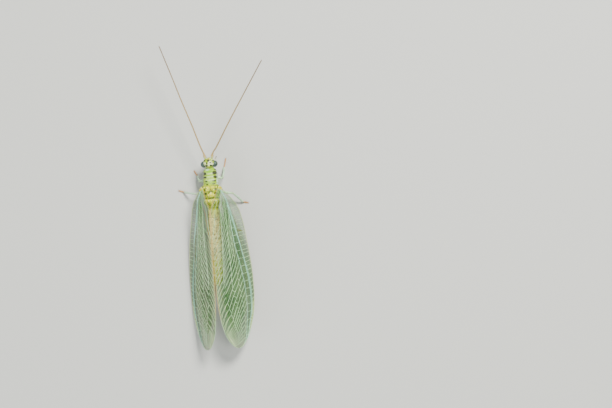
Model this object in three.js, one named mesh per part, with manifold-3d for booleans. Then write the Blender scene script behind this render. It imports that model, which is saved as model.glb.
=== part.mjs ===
// A green lacewing at rest, life size, as a still model.
// Millimetres, +Z up. The head looks along -Y and the insect's left side is +X.
// Points are written as out (from the middle plane to one side), back (along +Y) and up (along +Z).
import * as THREE from 'three';
import { mergeVertices } from 'three/addons/utils/BufferGeometryUtils.js';
import Module from 'manifold-3d';

const wasm = await Module();
wasm.setup();

const LEFT = 1;
const RIGHT = -1;

// Gaps between pieces that grow from one another
const GAP = 0.25;
const EYE_GAP = 0.1;
const WING_GAP = 0.22;
const MERGE_DISTANCE = 1e-5;

// Joint planes along the body, measured back from the forewing hinge
const NECK = -1.8;
const WAIST_FRONT = -0.47;
const WAIST_MIDDLE = 0.62;
const WAIST_REAR = 1.35;
const ABDOMEN_END = 7.6;

// Body sizes
const BODY_SIDES = 20;
const THORAX_STEPS = 12;
const THORAX_AXIS = 2.05;
const PROTHORAX = { width: 0.56, up: 0.5, down: 0.45, ends: [0.82, 0.86] };
const MESOTHORAX = { width: 0.66, up: 0.75, down: 0.75, ends: [0.72, 0.74] };
const METATHORAX = { width: 0.5, up: 0.62, down: 0.62, ends: [0.8, 0.78] };
const ABDOMEN = { width: 0.53, height: 0.47, segments: 9, ringsPerSegment: 3, groove: 0.035 };
const ABDOMEN_AXIS = [1.92, 1.66, 1.66];
const ABDOMEN_SWAY = 0.1;
const ABDOMEN_SWELL = { narrowest: 0.78, start: 0.12, rate: 1.25 };
const ABDOMEN_TIP = { from: 0.86, bluntness: 0.03 };
const CREASE = { places: [-1.27, -1.0], depth: 0.05, reach: 0.07 };
const LOBES = { out: 0.3, reach: 0.15, length: 0.2, front: -0.08, rear: 0.98, height: 0.08 };
const SHIELD = { back: 0.3, reach: 0.14, height: 0.1 };

// Head sizes
const HEAD_SIDES = 20;
const EYE = { radius: 0.31, height: 0.24, base: 0.46, back: -2.24, up: 2.24, sides: 16, steps: 7 };
const EYE_SEAT = { depth: 0.5, sides: 20 };
const MOUTH = { top: 1.45 - GAP, back: -2.36, sides: 12 };
const PALP_SIDES = 6;
const ANTENNA_SIDES = 8;
const ANTENNA_STEPS = 26;
const ANTENNA_RADII = [0.15, 0.24, 0.25, 0.24, 0.2, 0.09];

// Wing sizes
const FORE_THICKNESS = 0.5;
const HIND_THICKNESS = 0.42;
const HIND_ROOT_THICKNESS = 0.32;
const WING_BULGE = 0.17;
const VEIN_HEIGHT = 0.13;
const VEIN_HALF_WIDTH = 0.11;
const VEIN_WIDEST_SHARE = 0.035;
const RIM_HEIGHT = 0.05;
const RIM_SHARE = 0.04;
const FULL_RELIEF_CHORD = 2;
const FULL_BULGE_CHORD = 3;
const ROW_CROWDING = 0.35;
const TIP_START = 0.9;
const TIP_THINNING = 3;
const FORE_ROWS = 26;
const HIND_ROWS = 20;

// Leg sizes
const LEG_SIDES = 8;
const LEG_RADIUS = 0.24;
const KNEE_RADIUS = 0.22;
const SHIN_RADIUS = 0.2;
const TARSUS_RADIUS = 0.16;
const TARSUS_HEIGHT = 0.12;
const BALL_SHARE = 1.05;
const CLAW = { length: 0.3, bend: 0.6, radius: 0.06, tip: 0.03, turn: 0.6, sides: 5, steps: 3 };
const FLOOR_REACH = 20;

// Colours
const MINT = { color: 0xc3dca5, roughness: 0.45, metalness: 0 };
const SULPHUR = { color: 0xc9d45e, roughness: 0.5, metalness: 0 };
const CREAM = { color: 0xd9d9a8, roughness: 0.5, metalness: 0 };
const EYE_GREEN = { color: 0x6f8f7c, roughness: 0.2, metalness: 0.4 };
const STRAW = { color: 0xa8925c, roughness: 0.5, metalness: 0 };
const MEMBRANE = { color: 0xa9cdb6, roughness: 0.25, metalness: 0 };
const LEG_GREEN = { color: 0xbcd29a, roughness: 0.5, metalness: 0 };

const model = new THREE.Group();

function place(side, out, back, up) {
  return new THREE.Vector3(side * out, back, up);
}

function signedVolume(geometry) {
  const position = geometry.getAttribute('position');
  const index = geometry.getIndex();
  const a = new THREE.Vector3();
  const b = new THREE.Vector3();
  const c = new THREE.Vector3();
  let volume = 0;
  for (let i = 0; i < index.count; i += 3) {
    a.fromBufferAttribute(position, index.getX(i));
    b.fromBufferAttribute(position, index.getX(i + 1));
    c.fromBufferAttribute(position, index.getX(i + 2));
    volume += a.dot(b.cross(c)) / 6;
  }
  return volume;
}

// Turns a surface round if its faces point inwards
function facingOut(geometry) {
  if (signedVolume(geometry) < 0) geometry.setIndex([...geometry.getIndex().array].reverse());
  return geometry;
}

function surface(points, triangles) {
  const geometry = new THREE.BufferGeometry().setFromPoints(points);
  geometry.setIndex(triangles);
  return facingOut(geometry);
}

// A closed skin over rings of equally many points, with a fan over each end
function loft(rings) {
  const sides = rings[0].length;
  const points = rings.flat();
  const triangles = [];
  for (let i = 0; i < rings.length - 1; i += 1) {
    for (let j = 0; j < sides; j += 1) {
      const a = i * sides + j;
      const b = i * sides + (j + 1) % sides;
      triangles.push(a, b, a + sides, b, b + sides, a + sides);
    }
  }
  for (const [ring, turn] of [[0, 1], [rings.length - 1, 0]]) {
    const centre = points.length;
    const middle = new THREE.Vector3();
    for (const point of rings[ring]) middle.addScaledVector(point, 1 / sides);
    points.push(middle);
    for (let j = 0; j < sides; j += 1) {
      const a = ring * sides + j;
      const b = ring * sides + (j + 1) % sides;
      triangles.push(...(turn ? [b, a, centre] : [a, b, centre]));
    }
  }
  return surface(points, triangles);
}

// A closed plate between two grids, split along the same diagonals on both faces
function plate(upper, lower) {
  const rows = upper.length;
  const columns = upper[0].length;
  const points = [...upper.flat(), ...lower.flat()];
  const below = rows * columns;
  const at = (i, j) => i * columns + j;
  const triangles = [];
  for (let i = 0; i < rows - 1; i += 1) {
    for (let j = 0; j < columns - 1; j += 1) {
      const [a, b, c, d] = [at(i, j), at(i, j + 1), at(i + 1, j), at(i + 1, j + 1)];
      triangles.push(a, b, c, b, d, c);
      triangles.push(below + a, below + c, below + b, below + b, below + c, below + d);
    }
  }
  const rim = [];
  for (let j = 0; j < columns - 1; j += 1) rim.push(at(0, j));
  for (let i = 0; i < rows - 1; i += 1) rim.push(at(i, columns - 1));
  for (let j = columns - 1; j > 0; j -= 1) rim.push(at(rows - 1, j));
  for (let i = rows - 1; i > 0; i -= 1) rim.push(at(i, 0));
  rim.forEach((a, k) => {
    const b = rim[(k + 1) % rim.length];
    triangles.push(a, below + a, b, b, below + a, below + b);
  });
  return surface(points, triangles);
}

// Half an oval above a level and half another below it, across the body, with relief on the upper one
function bodyRing(back, axis, width, up, down, sway = 0, relief = () => 0) {
  const ring = [];
  for (let j = 0; j < BODY_SIDES; j += 1) {
    const angle = (2 * Math.PI * j) / BODY_SIDES;
    const rise = Math.sin(angle);
    const out = width * Math.cos(angle);
    const lift = rise > 0.1 ? relief(Math.abs(out), back) : 0;
    ring.push(new THREE.Vector3(sway + out, back, axis + rise * (rise > 0 ? up : down) + lift));
  }
  return ring;
}

const hump = (distance, reach) => Math.exp(-((distance / reach) ** 2));

// Two creases across the pronotum
function pronotumRelief(out, back) {
  return -CREASE.depth * CREASE.places.reduce((sum, place) => sum + hump(back - place, CREASE.reach), 0);
}

// A pair of wing-muscle lobes with the small shield between and behind them
function mesonotumRelief(out, back) {
  const lobes = LOBES.height * hump(out - LOBES.out, LOBES.reach) * hump(back - LOBES.front, LOBES.length);
  return lobes + SHIELD.height * hump(out, SHIELD.reach) * hump(back - SHIELD.back, SHIELD.reach);
}

function metanotumRelief(out, back) {
  return LOBES.height * hump(out - LOBES.out, LOBES.reach) * hump(back - LOBES.rear, LOBES.length);
}

// The point on a thorax ring at an angle above the horizontal, and the way the surface faces there
function onThorax(segment, angle) {
  const rise = Math.sin(angle);
  const height = rise > 0 ? segment.up : segment.down;
  const out = segment.width * Math.cos(angle);
  const facing = new THREE.Vector2(Math.cos(angle) / segment.width, rise / height).normalize();
  return { out, up: THORAX_AXIS + height * rise, facing };
}

// A round limb along a curve, with radii spread evenly from its start to its end
function limb(curve, radii, steps, sides) {
  const steep = 0.8;
  const rings = [];
  let across = null;
  for (let i = 0; i <= steps; i += 1) {
    const t = i / steps;
    const centre = curve.getPoint(t);
    const along = curve.getTangent(t);
    if (!across) across = Math.abs(along.z) < steep ? new THREE.Vector3(0, 0, 1) : new THREE.Vector3(0, 1, 0);
    across.addScaledVector(along, -across.dot(along)).normalize();
    const beside = along.clone().cross(across);
    const k = Math.min(Math.floor(t * (radii.length - 1)), radii.length - 2);
    const radius = THREE.MathUtils.lerp(radii[k], radii[k + 1], t * (radii.length - 1) - k);
    const ring = [];
    for (let j = 0; j < sides; j += 1) {
      const angle = (2 * Math.PI * (j + 0.5)) / sides;
      const point = centre.clone().addScaledVector(across, radius * Math.cos(angle));
      point.addScaledVector(beside, radius * Math.sin(angle));
      ring.push(point);
    }
    rings.push(ring);
  }
  return loft(rings);
}

// The same surface with its shared vertices merged
function merged(geometry) {
  const bare = geometry.clone();
  bare.deleteAttribute('normal');
  bare.deleteAttribute('uv');
  return mergeVertices(bare, MERGE_DISTANCE);
}

function toSolid(geometry) {
  const closed = merged(geometry);
  const vertProperties = new Float32Array(closed.getAttribute('position').array);
  const triVerts = new Uint32Array(closed.getIndex().array);
  return new wasm.Manifold(new wasm.Mesh({ numProp: 3, vertProperties, triVerts }));
}

// The largest closed surface of a solid
function fromSolid(solid) {
  const largest = solid.decompose().sort((a, b) => b.volume() - a.volume())[0];
  const mesh = largest.getMesh();
  const geometry = new THREE.BufferGeometry();
  geometry.setAttribute('position', new THREE.BufferAttribute(new Float32Array(mesh.vertProperties), 3));
  geometry.setIndex([...mesh.triVerts]);
  return geometry;
}

function add(name, geometry, look) {
  geometry.computeVertexNormals();
  const mesh = new THREE.Mesh(geometry, new THREE.MeshStandardMaterial(look));
  mesh.name = name;
  model.add(mesh);
  return mesh;
}

// A value that runs smoothly through three others at the start, middle and end
function through(values, t) {
  const [a, b, c] = values;
  return a * (1 - t) * (1 - 2 * t) + 4 * b * t * (1 - t) + c * t * (2 * t - 1);
}

// Head capsule, as level rings from the mouth up to the crown: up, half width, front, back
const HEAD_LEVELS = [
  [1.45, 0.17, -2.5, -2.2],
  [1.58, 0.26, -2.57, -2.1],
  [1.78, 0.36, -2.61, -2.0],
  [2.0, 0.43, -2.64, -1.95],
  [2.22, 0.46, -2.66, NECK - GAP / 2],
  [2.42, 0.45, -2.63, NECK - GAP / 2],
  [2.57, 0.4, -2.56, -1.95],
  [2.68, 0.28, -2.45, -2.02],
  [2.73, 0.13, -2.35, -2.14],
];

// A level oval ring
function levelRing(up, width, front, back, sides) {
  const ring = [];
  const middle = (front + back) / 2;
  const reach = (back - front) / 2;
  for (let j = 0; j < sides; j += 1) {
    const angle = (2 * Math.PI * j) / sides;
    ring.push(new THREE.Vector3(width * Math.cos(angle), middle + reach * Math.sin(angle), up));
  }
  return ring;
}

function headCapsule() {
  return loft(HEAD_LEVELS.map((level) => levelRing(...level, HEAD_SIDES)));
}

// Each compound eye is a dome whose flat base stands on the side of the head
function eyeDome(side) {
  const profile = [new THREE.Vector2(0, 0)];
  for (let i = 0; i <= EYE.steps; i += 1) {
    const angle = (Math.PI / 2) * (i / EYE.steps);
    const radius = i === EYE.steps ? 0 : EYE.radius * Math.cos(angle);
    profile.push(new THREE.Vector2(radius, EYE.height * Math.sin(angle)));
  }
  const dome = new THREE.LatheGeometry(profile, EYE.sides);
  dome.rotateZ(-side * Math.PI / 2);
  dome.translate(side * EYE.base, EYE.back, EYE.up);
  return facingOut(merged(dome));
}

// A flat seat on the side of the head that faces the base of an eye
function eyeSeat(side) {
  const radius = EYE.radius + EYE_GAP;
  const seat = new THREE.CylinderGeometry(radius, radius, EYE_SEAT.depth, EYE_SEAT.sides);
  seat.rotateZ(Math.PI / 2);
  seat.translate(side * (EYE.base - EYE_GAP + EYE_SEAT.depth / 2), EYE.back, EYE.up);
  return seat;
}

function head() {
  let solid = toSolid(headCapsule());
  for (const side of [LEFT, RIGHT]) solid = solid.subtract(toSolid(eyeSeat(side)));
  add('head', fromSolid(solid), MINT);
  add('eye_left', eyeDome(LEFT), EYE_GREEN);
  add('eye_right', eyeDome(RIGHT), EYE_GREEN);
}

// Lip and jaws, as level rings: below the mouth's top, half width, half depth
const LIP_LEVELS = [
  [0, 0.2, 0.17],
  [0.12, 0.2, 0.18],
  [0.28, 0.13, 0.12],
  [0.36, 0.05, 0.05],
];

// Palps: out, behind the middle of the mouth, below its top
const PALPS = [
  {
    points: [[0.1, 0, 0.1], [0.3, -0.12, 0.18], [0.4, -0.32, 0.32], [0.42, -0.42, 0.5]],
    radii: [0.09, 0.08, 0.07, 0.04],
  },
  {
    points: [[0.06, 0.05, 0.18], [0.17, 0.08, 0.34], [0.2, -0.02, 0.52]],
    radii: [0.08, 0.07, 0.04],
  },
];

// Lip and jaws as one wedge below the face, with two pairs of palps rooted in it
function mouthparts() {
  const rings = LIP_LEVELS.map(([below, width, depth]) => (
    levelRing(MOUTH.top - below, width, MOUTH.back - depth, MOUTH.back + depth, MOUTH.sides)
  ));
  let solid = toSolid(loft(rings));
  for (const side of [LEFT, RIGHT]) {
    for (const { points, radii } of PALPS) {
      const route = points.map(([out, behind, below]) => (
        place(side, out, MOUTH.back + behind, MOUTH.top - below)
      ));
      const steps = 2 * points.length - 2;
      solid = solid.add(toSolid(limb(new THREE.CatmullRomCurve3(route), radii, steps, PALP_SIDES)));
    }
  }
  add('mouthparts', fromSolid(solid), CREAM);
}

// Feelers: out, back, up, from the front of the head forward
const ANTENNA_PATHS = {
  antenna_left: [
    [0.31, -2.86, 2.44],
    [0.5, -3.45, 2.62],
    [1.03, -5.26, 2.95],
    [1.72, -7.38, 3.2],
    [2.33, -9.42, 3.5],
    [3.05, -11.79, 4],
  ],
  antenna_right: [
    [0.33, -2.86, 2.44],
    [0.76, -3.45, 2.85],
    [1.97, -5.2, 3.9],
    [3.37, -7.17, 4.95],
    [4.58, -8.84, 5.9],
    [5.39, -9.97, 6.5],
  ],
};

function antennae() {
  for (const [name, points] of Object.entries(ANTENNA_PATHS)) {
    const side = name.endsWith('left') ? LEFT : RIGHT;
    const path = new THREE.CatmullRomCurve3(points.map(([out, back, up]) => place(side, out, back, up)));
    add(name, limb(path, ANTENNA_RADII, ANTENNA_STEPS, ANTENNA_SIDES), STRAW);
  }
}

// A thorax segment between two joint planes, rounded in at its ends
function thoraxSegment(name, segment, front, rear, relief, look) {
  const from = front + GAP / 2;
  const to = rear - GAP / 2;
  const rings = [];
  for (let i = 0; i <= THORAX_STEPS; i += 1) {
    const t = i / THORAX_STEPS;
    const end = segment.ends[t < 0.5 ? 0 : 1];
    const fullness = end + (1 - end) * Math.sqrt(Math.max(0, 1 - (2 * t - 1) ** 4));
    const back = THREE.MathUtils.lerp(from, to, t);
    const [width, up, down] = [segment.width, segment.up, segment.down].map((size) => size * fullness);
    rings.push(bodyRing(back, THORAX_AXIS, width, up, down, 0, relief));
  }
  add(name, loft(rings), look);
}

function thorax() {
  thoraxSegment('prothorax', PROTHORAX, NECK, WAIST_FRONT, pronotumRelief, MINT);
  thoraxSegment('mesothorax', MESOTHORAX, WAIST_FRONT, WAIST_MIDDLE, mesonotumRelief, SULPHUR);
  thoraxSegment('metathorax', METATHORAX, WAIST_MIDDLE, WAIST_REAR, metanotumRelief, SULPHUR);
}

// Long, slender abdomen with a shallow groove between segments and a blunt, rounded end
function abdomen() {
  const from = WAIST_REAR + GAP / 2;
  const steps = ABDOMEN.segments * ABDOMEN.ringsPerSegment;
  const rings = [];
  for (let i = 0; i <= steps; i += 1) {
    const t = i / steps;
    const fullness = Math.sin(Math.PI * Math.min(1, ABDOMEN_SWELL.start + t * ABDOMEN_SWELL.rate));
    const swell = THREE.MathUtils.lerp(ABDOMEN_SWELL.narrowest, 1, fullness);
    const past = Math.max(0, (t - ABDOMEN_TIP.from) / (1 - ABDOMEN_TIP.from));
    const tip = Math.sqrt(Math.max(ABDOMEN_TIP.bluntness, 1 - past ** 2));
    const atJoint = i % ABDOMEN.ringsPerSegment === 0 && i > 0 && i < steps;
    const size = swell * tip * (atJoint ? 1 - ABDOMEN.groove / ABDOMEN.width : 1);
    const back = THREE.MathUtils.lerp(from, ABDOMEN_END, t);
    const height = ABDOMEN.height * size;
    const axis = through(ABDOMEN_AXIS, t);
    rings.push(bodyRing(back, axis, ABDOMEN.width * size, height, height, ABDOMEN_SWAY * t * t));
  }
  add('abdomen', loft(rings), CREAM);
}

// Forewing folded like a roof: back, front margin out and up, hind margin out and up
const FORE_STATIONS = [
  [-0.15, 1.02, 2.72, 0.64, 3.1],
  [0.15, 1.14, 2.56, 0.57, 3.2],
  [0.6, 1.42, 2.18, 0.53, 3.36],
  [1.3, 1.77, 1.62, 0.43, 3.7],
  [2.4, 2.04, 1.04, 0.38, 3.98],
  [4.1, 2.3, 0.58, 0.36, 4.08],
  [6.0, 2.48, 0.28, 0.36, 4.1],
  [8.5, 2.5, 0.19, 0.36, 4.05],
  [9.8, 2.4, 0.34, 0.4, 3.9],
  [10.8, 2.21, 0.66, 0.48, 3.6],
  [11.6, 2.0, 1.08, 0.62, 3.2],
  [12.2, 1.74, 1.52, 0.85, 2.8],
  [12.6, 1.42, 1.96, 1.12, 2.42],
];

// Hindwing lying inside the forewing: how far along it, and the share of its chord from margin to margin
const HIND_STATIONS = [
  [1.0, 0.3, 0.5],
  [1.6, 0.25, 0.56],
  [2.6, 0.19, 0.61],
  [5.0, 0.14, 0.64],
  [8.0, 0.13, 0.64],
  [9.8, 0.17, 0.62],
  [10.7, 0.25, 0.56],
  [11.2, 0.33, 0.48],
];

// Main veins, as a share of the chord at the root, middle and tip
const FORE_VEINS = {
  radius: [0.3, 0.16, 0.1],
  sector: [0.44, 0.33, 0.24],
  media: [0.6, 0.58, 0.46],
  cubitus: [0.76, 0.79, 0.7],
};
const HIND_VEINS = {
  radius: [0.24, 0.14, 0.12],
  sector: [0.46, 0.4, 0.36],
  media: [0.7, 0.7, 0.64],
};

// A smooth curve through the rows of a station table, read by its first column
function tableCurve(rows, column) {
  const curve = new THREE.CatmullRomCurve3(rows.map((row) => new THREE.Vector3(row[0], row[column], 0)));
  const samplesPerRow = 12;
  const samples = curve.getPoints(rows.length * samplesPerRow);
  return (x) => {
    let k = 0;
    while (k < samples.length - 2 && samples[k + 1].x < x) k += 1;
    const share = (x - samples[k].x) / (samples[k + 1].x - samples[k].x);
    return THREE.MathUtils.lerp(samples[k].y, samples[k + 1].y, THREE.MathUtils.clamp(share, 0, 1));
  };
}

const foreCurves = [1, 2, 3, 4].map((column) => tableCurve(FORE_STATIONS, column));
const hindCurves = [1, 2].map((column) => tableCurve(HIND_STATIONS, column));

// The middle of the forewing's thickness, bulged outwards between its margins
function foreSurface(back, share) {
  const [frontOut, frontUp, hindOut, hindUp] = foreCurves.map((curve) => curve(back));
  const chord = new THREE.Vector2(hindOut - frontOut, hindUp - frontUp);
  const facing = new THREE.Vector2(chord.y, -chord.x).normalize();
  const bulge = WING_BULGE * Math.sin(Math.PI * share) * Math.min(1, chord.length() / FULL_BULGE_CHORD);
  return new THREE.Vector3(
    frontOut + chord.x * share + facing.x * bulge,
    back,
    frontUp + chord.y * share + facing.y * bulge,
  );
}

function surfaceNormal(at, back, share) {
  const step = 0.01;
  const along = at(back + step, share).sub(at(back - step, share));
  const across = at(back, share + step).sub(at(back, share - step));
  return along.cross(across).normalize();
}

// Columns across the wing: both margins, and three for each vein, the middle one raised
function veinColumns(veins, t, chordLength) {
  const half = Math.min(VEIN_HALF_WIDTH / chordLength, VEIN_WIDEST_SHARE);
  const columns = [[0, RIM_HEIGHT], [RIM_SHARE, 0]];
  for (const values of Object.values(veins)) {
    const middle = through(values, t);
    columns.push([middle - half, 0], [middle, VEIN_HEIGHT], [middle + half, 0]);
  }
  columns.push([1 - RIM_SHARE, 0], [1, RIM_HEIGHT]);
  return columns;
}

// A wing between two stations along it, with rows a little closer together along its middle
function wing(name, at, from, to, rows, veins, thickness, look) {
  const side = name.endsWith('left') ? LEFT : RIGHT;
  const upper = [];
  const lower = [];
  for (let i = 0; i <= rows; i += 1) {
    const t = i / rows;
    const shift = ROW_CROWDING * (0.5 - t) * (1 - Math.abs(2 * t - 1));
    const back = THREE.MathUtils.lerp(from, to, t + shift);
    const chordLength = at(back, 1).distanceTo(at(back, 0));
    const fade = Math.min(1, chordLength / FULL_RELIEF_CHORD);
    const above = [];
    const below = [];
    for (const [share, height] of veinColumns(veins, t, chordLength)) {
      const middle = at(back, share);
      const normal = surfaceNormal(at, back, share);
      const half = thickness(t) / 2;
      const top = middle.clone().addScaledVector(normal, half + height * fade);
      const bottom = middle.clone().addScaledVector(normal, -half);
      for (const [point, row] of [[top, above], [bottom, below]]) {
        row.push(place(side, point.x, point.y, Math.max(point.z, 0)));
      }
    }
    upper.push(above);
    lower.push(below);
  }
  add(name, plate(upper, lower), look);
}

function wings() {
  const hindThickness = (t) => THREE.MathUtils.lerp(HIND_ROOT_THICKNESS, HIND_THICKNESS, Math.min(1, 4 * t));
  const foreThickness = (t) => FORE_THICKNESS * (1 - TIP_THINNING * Math.max(0, t - TIP_START));
  const hindFrom = HIND_STATIONS[0][0];
  const hindTo = HIND_STATIONS.at(-1)[0];
  const hindSurface = (back, share) => {
    const whole = THREE.MathUtils.lerp(hindCurves[0](back), hindCurves[1](back), share);
    const along = (back - hindFrom) / (hindTo - hindFrom);
    const depth = FORE_THICKNESS / 2 + WING_GAP + hindThickness(along) / 2;
    return foreSurface(back, whole).addScaledVector(surfaceNormal(foreSurface, back, whole), -depth);
  };
  for (const side of ['left', 'right']) {
    const from = FORE_STATIONS[0][0];
    const to = FORE_STATIONS.at(-1)[0];
    wing(`forewing_${side}`, foreSurface, from, to, FORE_ROWS, FORE_VEINS, foreThickness, MEMBRANE);
    wing(`hindwing_${side}`, hindSurface, hindFrom, hindTo, HIND_ROWS, HIND_VEINS, hindThickness, MEMBRANE);
  }
}

// Legs: where each leaves its segment, then its knee, the end of its shin and the tip of its foot
const LEGS = {
  foreleg_left: [PROTHORAX, -1.05, -50, [0.99, -0.78, 1.25], [1.34, -1.3, 0.26], [1.53, -1.66]],
  foreleg_right: [PROTHORAX, -1.05, -50, [0.95, -0.8, 1.3], [1.0, -2.08, 0.3], [1.0, -2.45]],
  midleg_left: [MESOTHORAX, 0.05, -50, [1.35, 0.14, 1.35], [2.47, -0.07, 0.25], [2.86, -0.22]],
  midleg_right: [MESOTHORAX, 0.05, -50, [1.61, 0.3, 1.38], [2.21, 1.06, 0.25], [2.54, 1.13]],
  hindleg_left: [METATHORAX, 1.0, -58, [0.62, 2.9, 0.82], [1.36, 3.4, 0.24], [1.75, 3.58]],
  hindleg_right: [METATHORAX, 1.0, -58, [0.6, 2.85, 0.82], [1.42, 3.2, 0.24], [1.83, 3.32]],
};

// A straight stretch of a leg with a ball at its far end
function stretch(from, to, radiusFrom, radiusTo) {
  const shaft = limb(new THREE.LineCurve3(from, to), [radiusFrom, radiusTo], 1, LEG_SIDES);
  const ball = new THREE.SphereGeometry(radiusTo * BALL_SHARE, LEG_SIDES, 6);
  ball.translate(to.x, to.y, to.z);
  return toSolid(shaft).add(toSolid(ball));
}

// A hooked claw that leaves the tip of the foot to one side and comes down to the floor
function claw(tip, along, turn) {
  const heading = along.clone().applyAxisAngle(new THREE.Vector3(0, 0, 1), turn);
  const middle = tip.clone().addScaledVector(heading, CLAW.bend * CLAW.length);
  const end = tip.clone().addScaledVector(heading, CLAW.length);
  middle.z = TARSUS_HEIGHT;
  end.z = CLAW.tip;
  const curve = new THREE.QuadraticBezierCurve3(tip, middle, end);
  return toSolid(limb(curve, [CLAW.radius, CLAW.tip], CLAW.steps, CLAW.sides));
}

// One leg from the hip to the foot, whose sole is cut flat at the floor
function leg(name, [segment, back, degrees, knee, ankle, toe]) {
  const side = name.endsWith('left') ? LEFT : RIGHT;
  const root = onThorax(segment, THREE.MathUtils.degToRad(degrees));
  const hip = place(side, root.out + GAP * root.facing.x, back, root.up + GAP * root.facing.y);
  const socket = place(side, root.out + 2 * GAP * root.facing.x, back, root.up + 2 * GAP * root.facing.y);
  const kneePoint = place(side, ...knee);
  const anklePoint = place(side, ...ankle);
  const toePoint = place(side, ...toe, TARSUS_HEIGHT);
  let solid = stretch(hip, socket, LEG_RADIUS, LEG_RADIUS);
  solid = solid.add(stretch(socket, kneePoint, LEG_RADIUS, KNEE_RADIUS));
  solid = solid.add(stretch(kneePoint, anklePoint, KNEE_RADIUS, SHIN_RADIUS));
  solid = solid.add(stretch(anklePoint, toePoint, SHIN_RADIUS, TARSUS_RADIUS));
  const along = toePoint.clone().sub(anklePoint).setZ(0).normalize();
  for (const turn of [CLAW.turn, -CLAW.turn]) solid = solid.add(claw(toePoint, along, turn));
  const below = new THREE.BoxGeometry(1, 1, 1);
  below.scale(FLOOR_REACH, FLOOR_REACH, 1);
  below.translate(0, 0, -0.5);
  add(name, fromSolid(solid.subtract(toSolid(below))), LEG_GREEN);
}

head();
mouthparts();
antennae();
thorax();
abdomen();
wings();
for (const [name, values] of Object.entries(LEGS)) leg(name, values);

// The origin lies under the middle of the whole, at the level of the soles
const box = new THREE.Box3().setFromObject(model);
const middle = box.getCenter(new THREE.Vector3());
model.position.set(-middle.x, -middle.y, -box.min.z);
model.updateMatrixWorld(true);

export default model;
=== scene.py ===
"""The looks of a life-size green lacewing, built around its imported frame.

Lengths are millimetres in the insect's own terms: across from the middle plane (left side positive), back from
the forewing hinge, and up from the floor. Meshes are written in metres, in the frame's axes.
"""
import math
from functools import partial

import bpy
import numpy as np
from bpy.props import FloatProperty, FloatVectorProperty, IntProperty, PointerProperty
from mathutils import Matrix, Vector


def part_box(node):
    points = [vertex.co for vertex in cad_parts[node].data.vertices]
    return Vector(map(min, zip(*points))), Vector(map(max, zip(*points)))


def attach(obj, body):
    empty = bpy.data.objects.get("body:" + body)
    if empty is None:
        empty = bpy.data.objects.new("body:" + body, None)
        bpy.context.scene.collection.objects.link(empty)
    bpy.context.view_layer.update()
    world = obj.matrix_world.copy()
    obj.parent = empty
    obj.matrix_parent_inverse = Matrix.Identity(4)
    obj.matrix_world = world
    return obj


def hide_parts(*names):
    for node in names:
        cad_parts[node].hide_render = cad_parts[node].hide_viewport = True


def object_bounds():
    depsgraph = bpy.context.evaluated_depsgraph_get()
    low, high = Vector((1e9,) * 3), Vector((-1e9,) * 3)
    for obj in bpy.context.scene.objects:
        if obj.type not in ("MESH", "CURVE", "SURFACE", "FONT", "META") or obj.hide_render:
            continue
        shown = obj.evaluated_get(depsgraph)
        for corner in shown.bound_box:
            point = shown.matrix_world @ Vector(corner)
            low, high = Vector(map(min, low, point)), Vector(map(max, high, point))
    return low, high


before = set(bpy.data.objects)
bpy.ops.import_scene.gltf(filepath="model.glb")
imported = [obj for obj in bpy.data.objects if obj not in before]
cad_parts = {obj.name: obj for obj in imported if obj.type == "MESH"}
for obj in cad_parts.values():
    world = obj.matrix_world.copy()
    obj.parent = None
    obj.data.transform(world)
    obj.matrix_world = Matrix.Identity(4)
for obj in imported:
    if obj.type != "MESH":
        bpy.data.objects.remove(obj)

bl_info = {
    "name": "Green lacewing",
    "version": (1, 0, 0),
    "blender": (4, 5, 0),
    "location": "3D View > Sidebar > Lacewing",
    "description": "Builds a life-size green lacewing around its packed frame",
    "category": "Add Mesh",
}

# Where the insect lies in the frame
MM = 0.001
UP = (0.0, 0.0, 1.0)
CAD_LOW, CAD_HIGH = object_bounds()
ABDOMEN_END = 7.6
MIDDLE = (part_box("forewing_left")[1].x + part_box("forewing_right")[0].x) / 2 / MM
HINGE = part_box("abdomen")[1].y / MM - ABDOMEN_END
FLOOR = CAD_LOW.z / MM
SIDES = {"left": 1, "right": -1}

# Body along its length: back, height of the middle line, half width, upper and lower half heights
BODY_STATIONS = np.array([
    [-2.1, 2.12, 0.2, 0.2, 0.26],
    [-1.84, 2.1, 0.33, 0.3, 0.36],
    [-1.7, 2.07, 0.47, 0.42, 0.43],
    [-1.42, 2.05, 0.54, 0.5, 0.46],
    [-0.95, 2.05, 0.59, 0.53, 0.5],
    [-0.6, 2.05, 0.61, 0.55, 0.56],
    [-0.46, 2.05, 0.57, 0.54, 0.6],
    [-0.28, 2.05, 0.65, 0.66, 0.7],
    [0.05, 2.05, 0.69, 0.76, 0.75],
    [0.42, 2.05, 0.66, 0.72, 0.74],
    [0.62, 2.04, 0.58, 0.62, 0.68],
    [0.82, 2.03, 0.57, 0.63, 0.66],
    [1.1, 2.0, 0.54, 0.58, 0.62],
    [1.36, 1.95, 0.45, 0.46, 0.5],
    [1.7, 1.88, 0.46, 0.44, 0.44],
    [2.6, 1.77, 0.5, 0.46, 0.44],
    [4.4, 1.66, 0.53, 0.47, 0.44],
    [6.0, 1.64, 0.48, 0.43, 0.41],
    [7.0, 1.66, 0.4, 0.37, 0.35],
    [7.35, 1.67, 0.33, 0.31, 0.29],
    [7.58, 1.67, 0.29, 0.27, 0.26],
]).T
BODY_AROUND = 128
BODY_SQUARENESS = 0.9
ABDOMEN_CAP = 0.3
ABDOMEN_CAP_ROWS = 40
ABDOMEN_START = 1.45
ABDOMEN_SEGMENTS = 9
ABDOMEN_SWAY = 0.1

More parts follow.
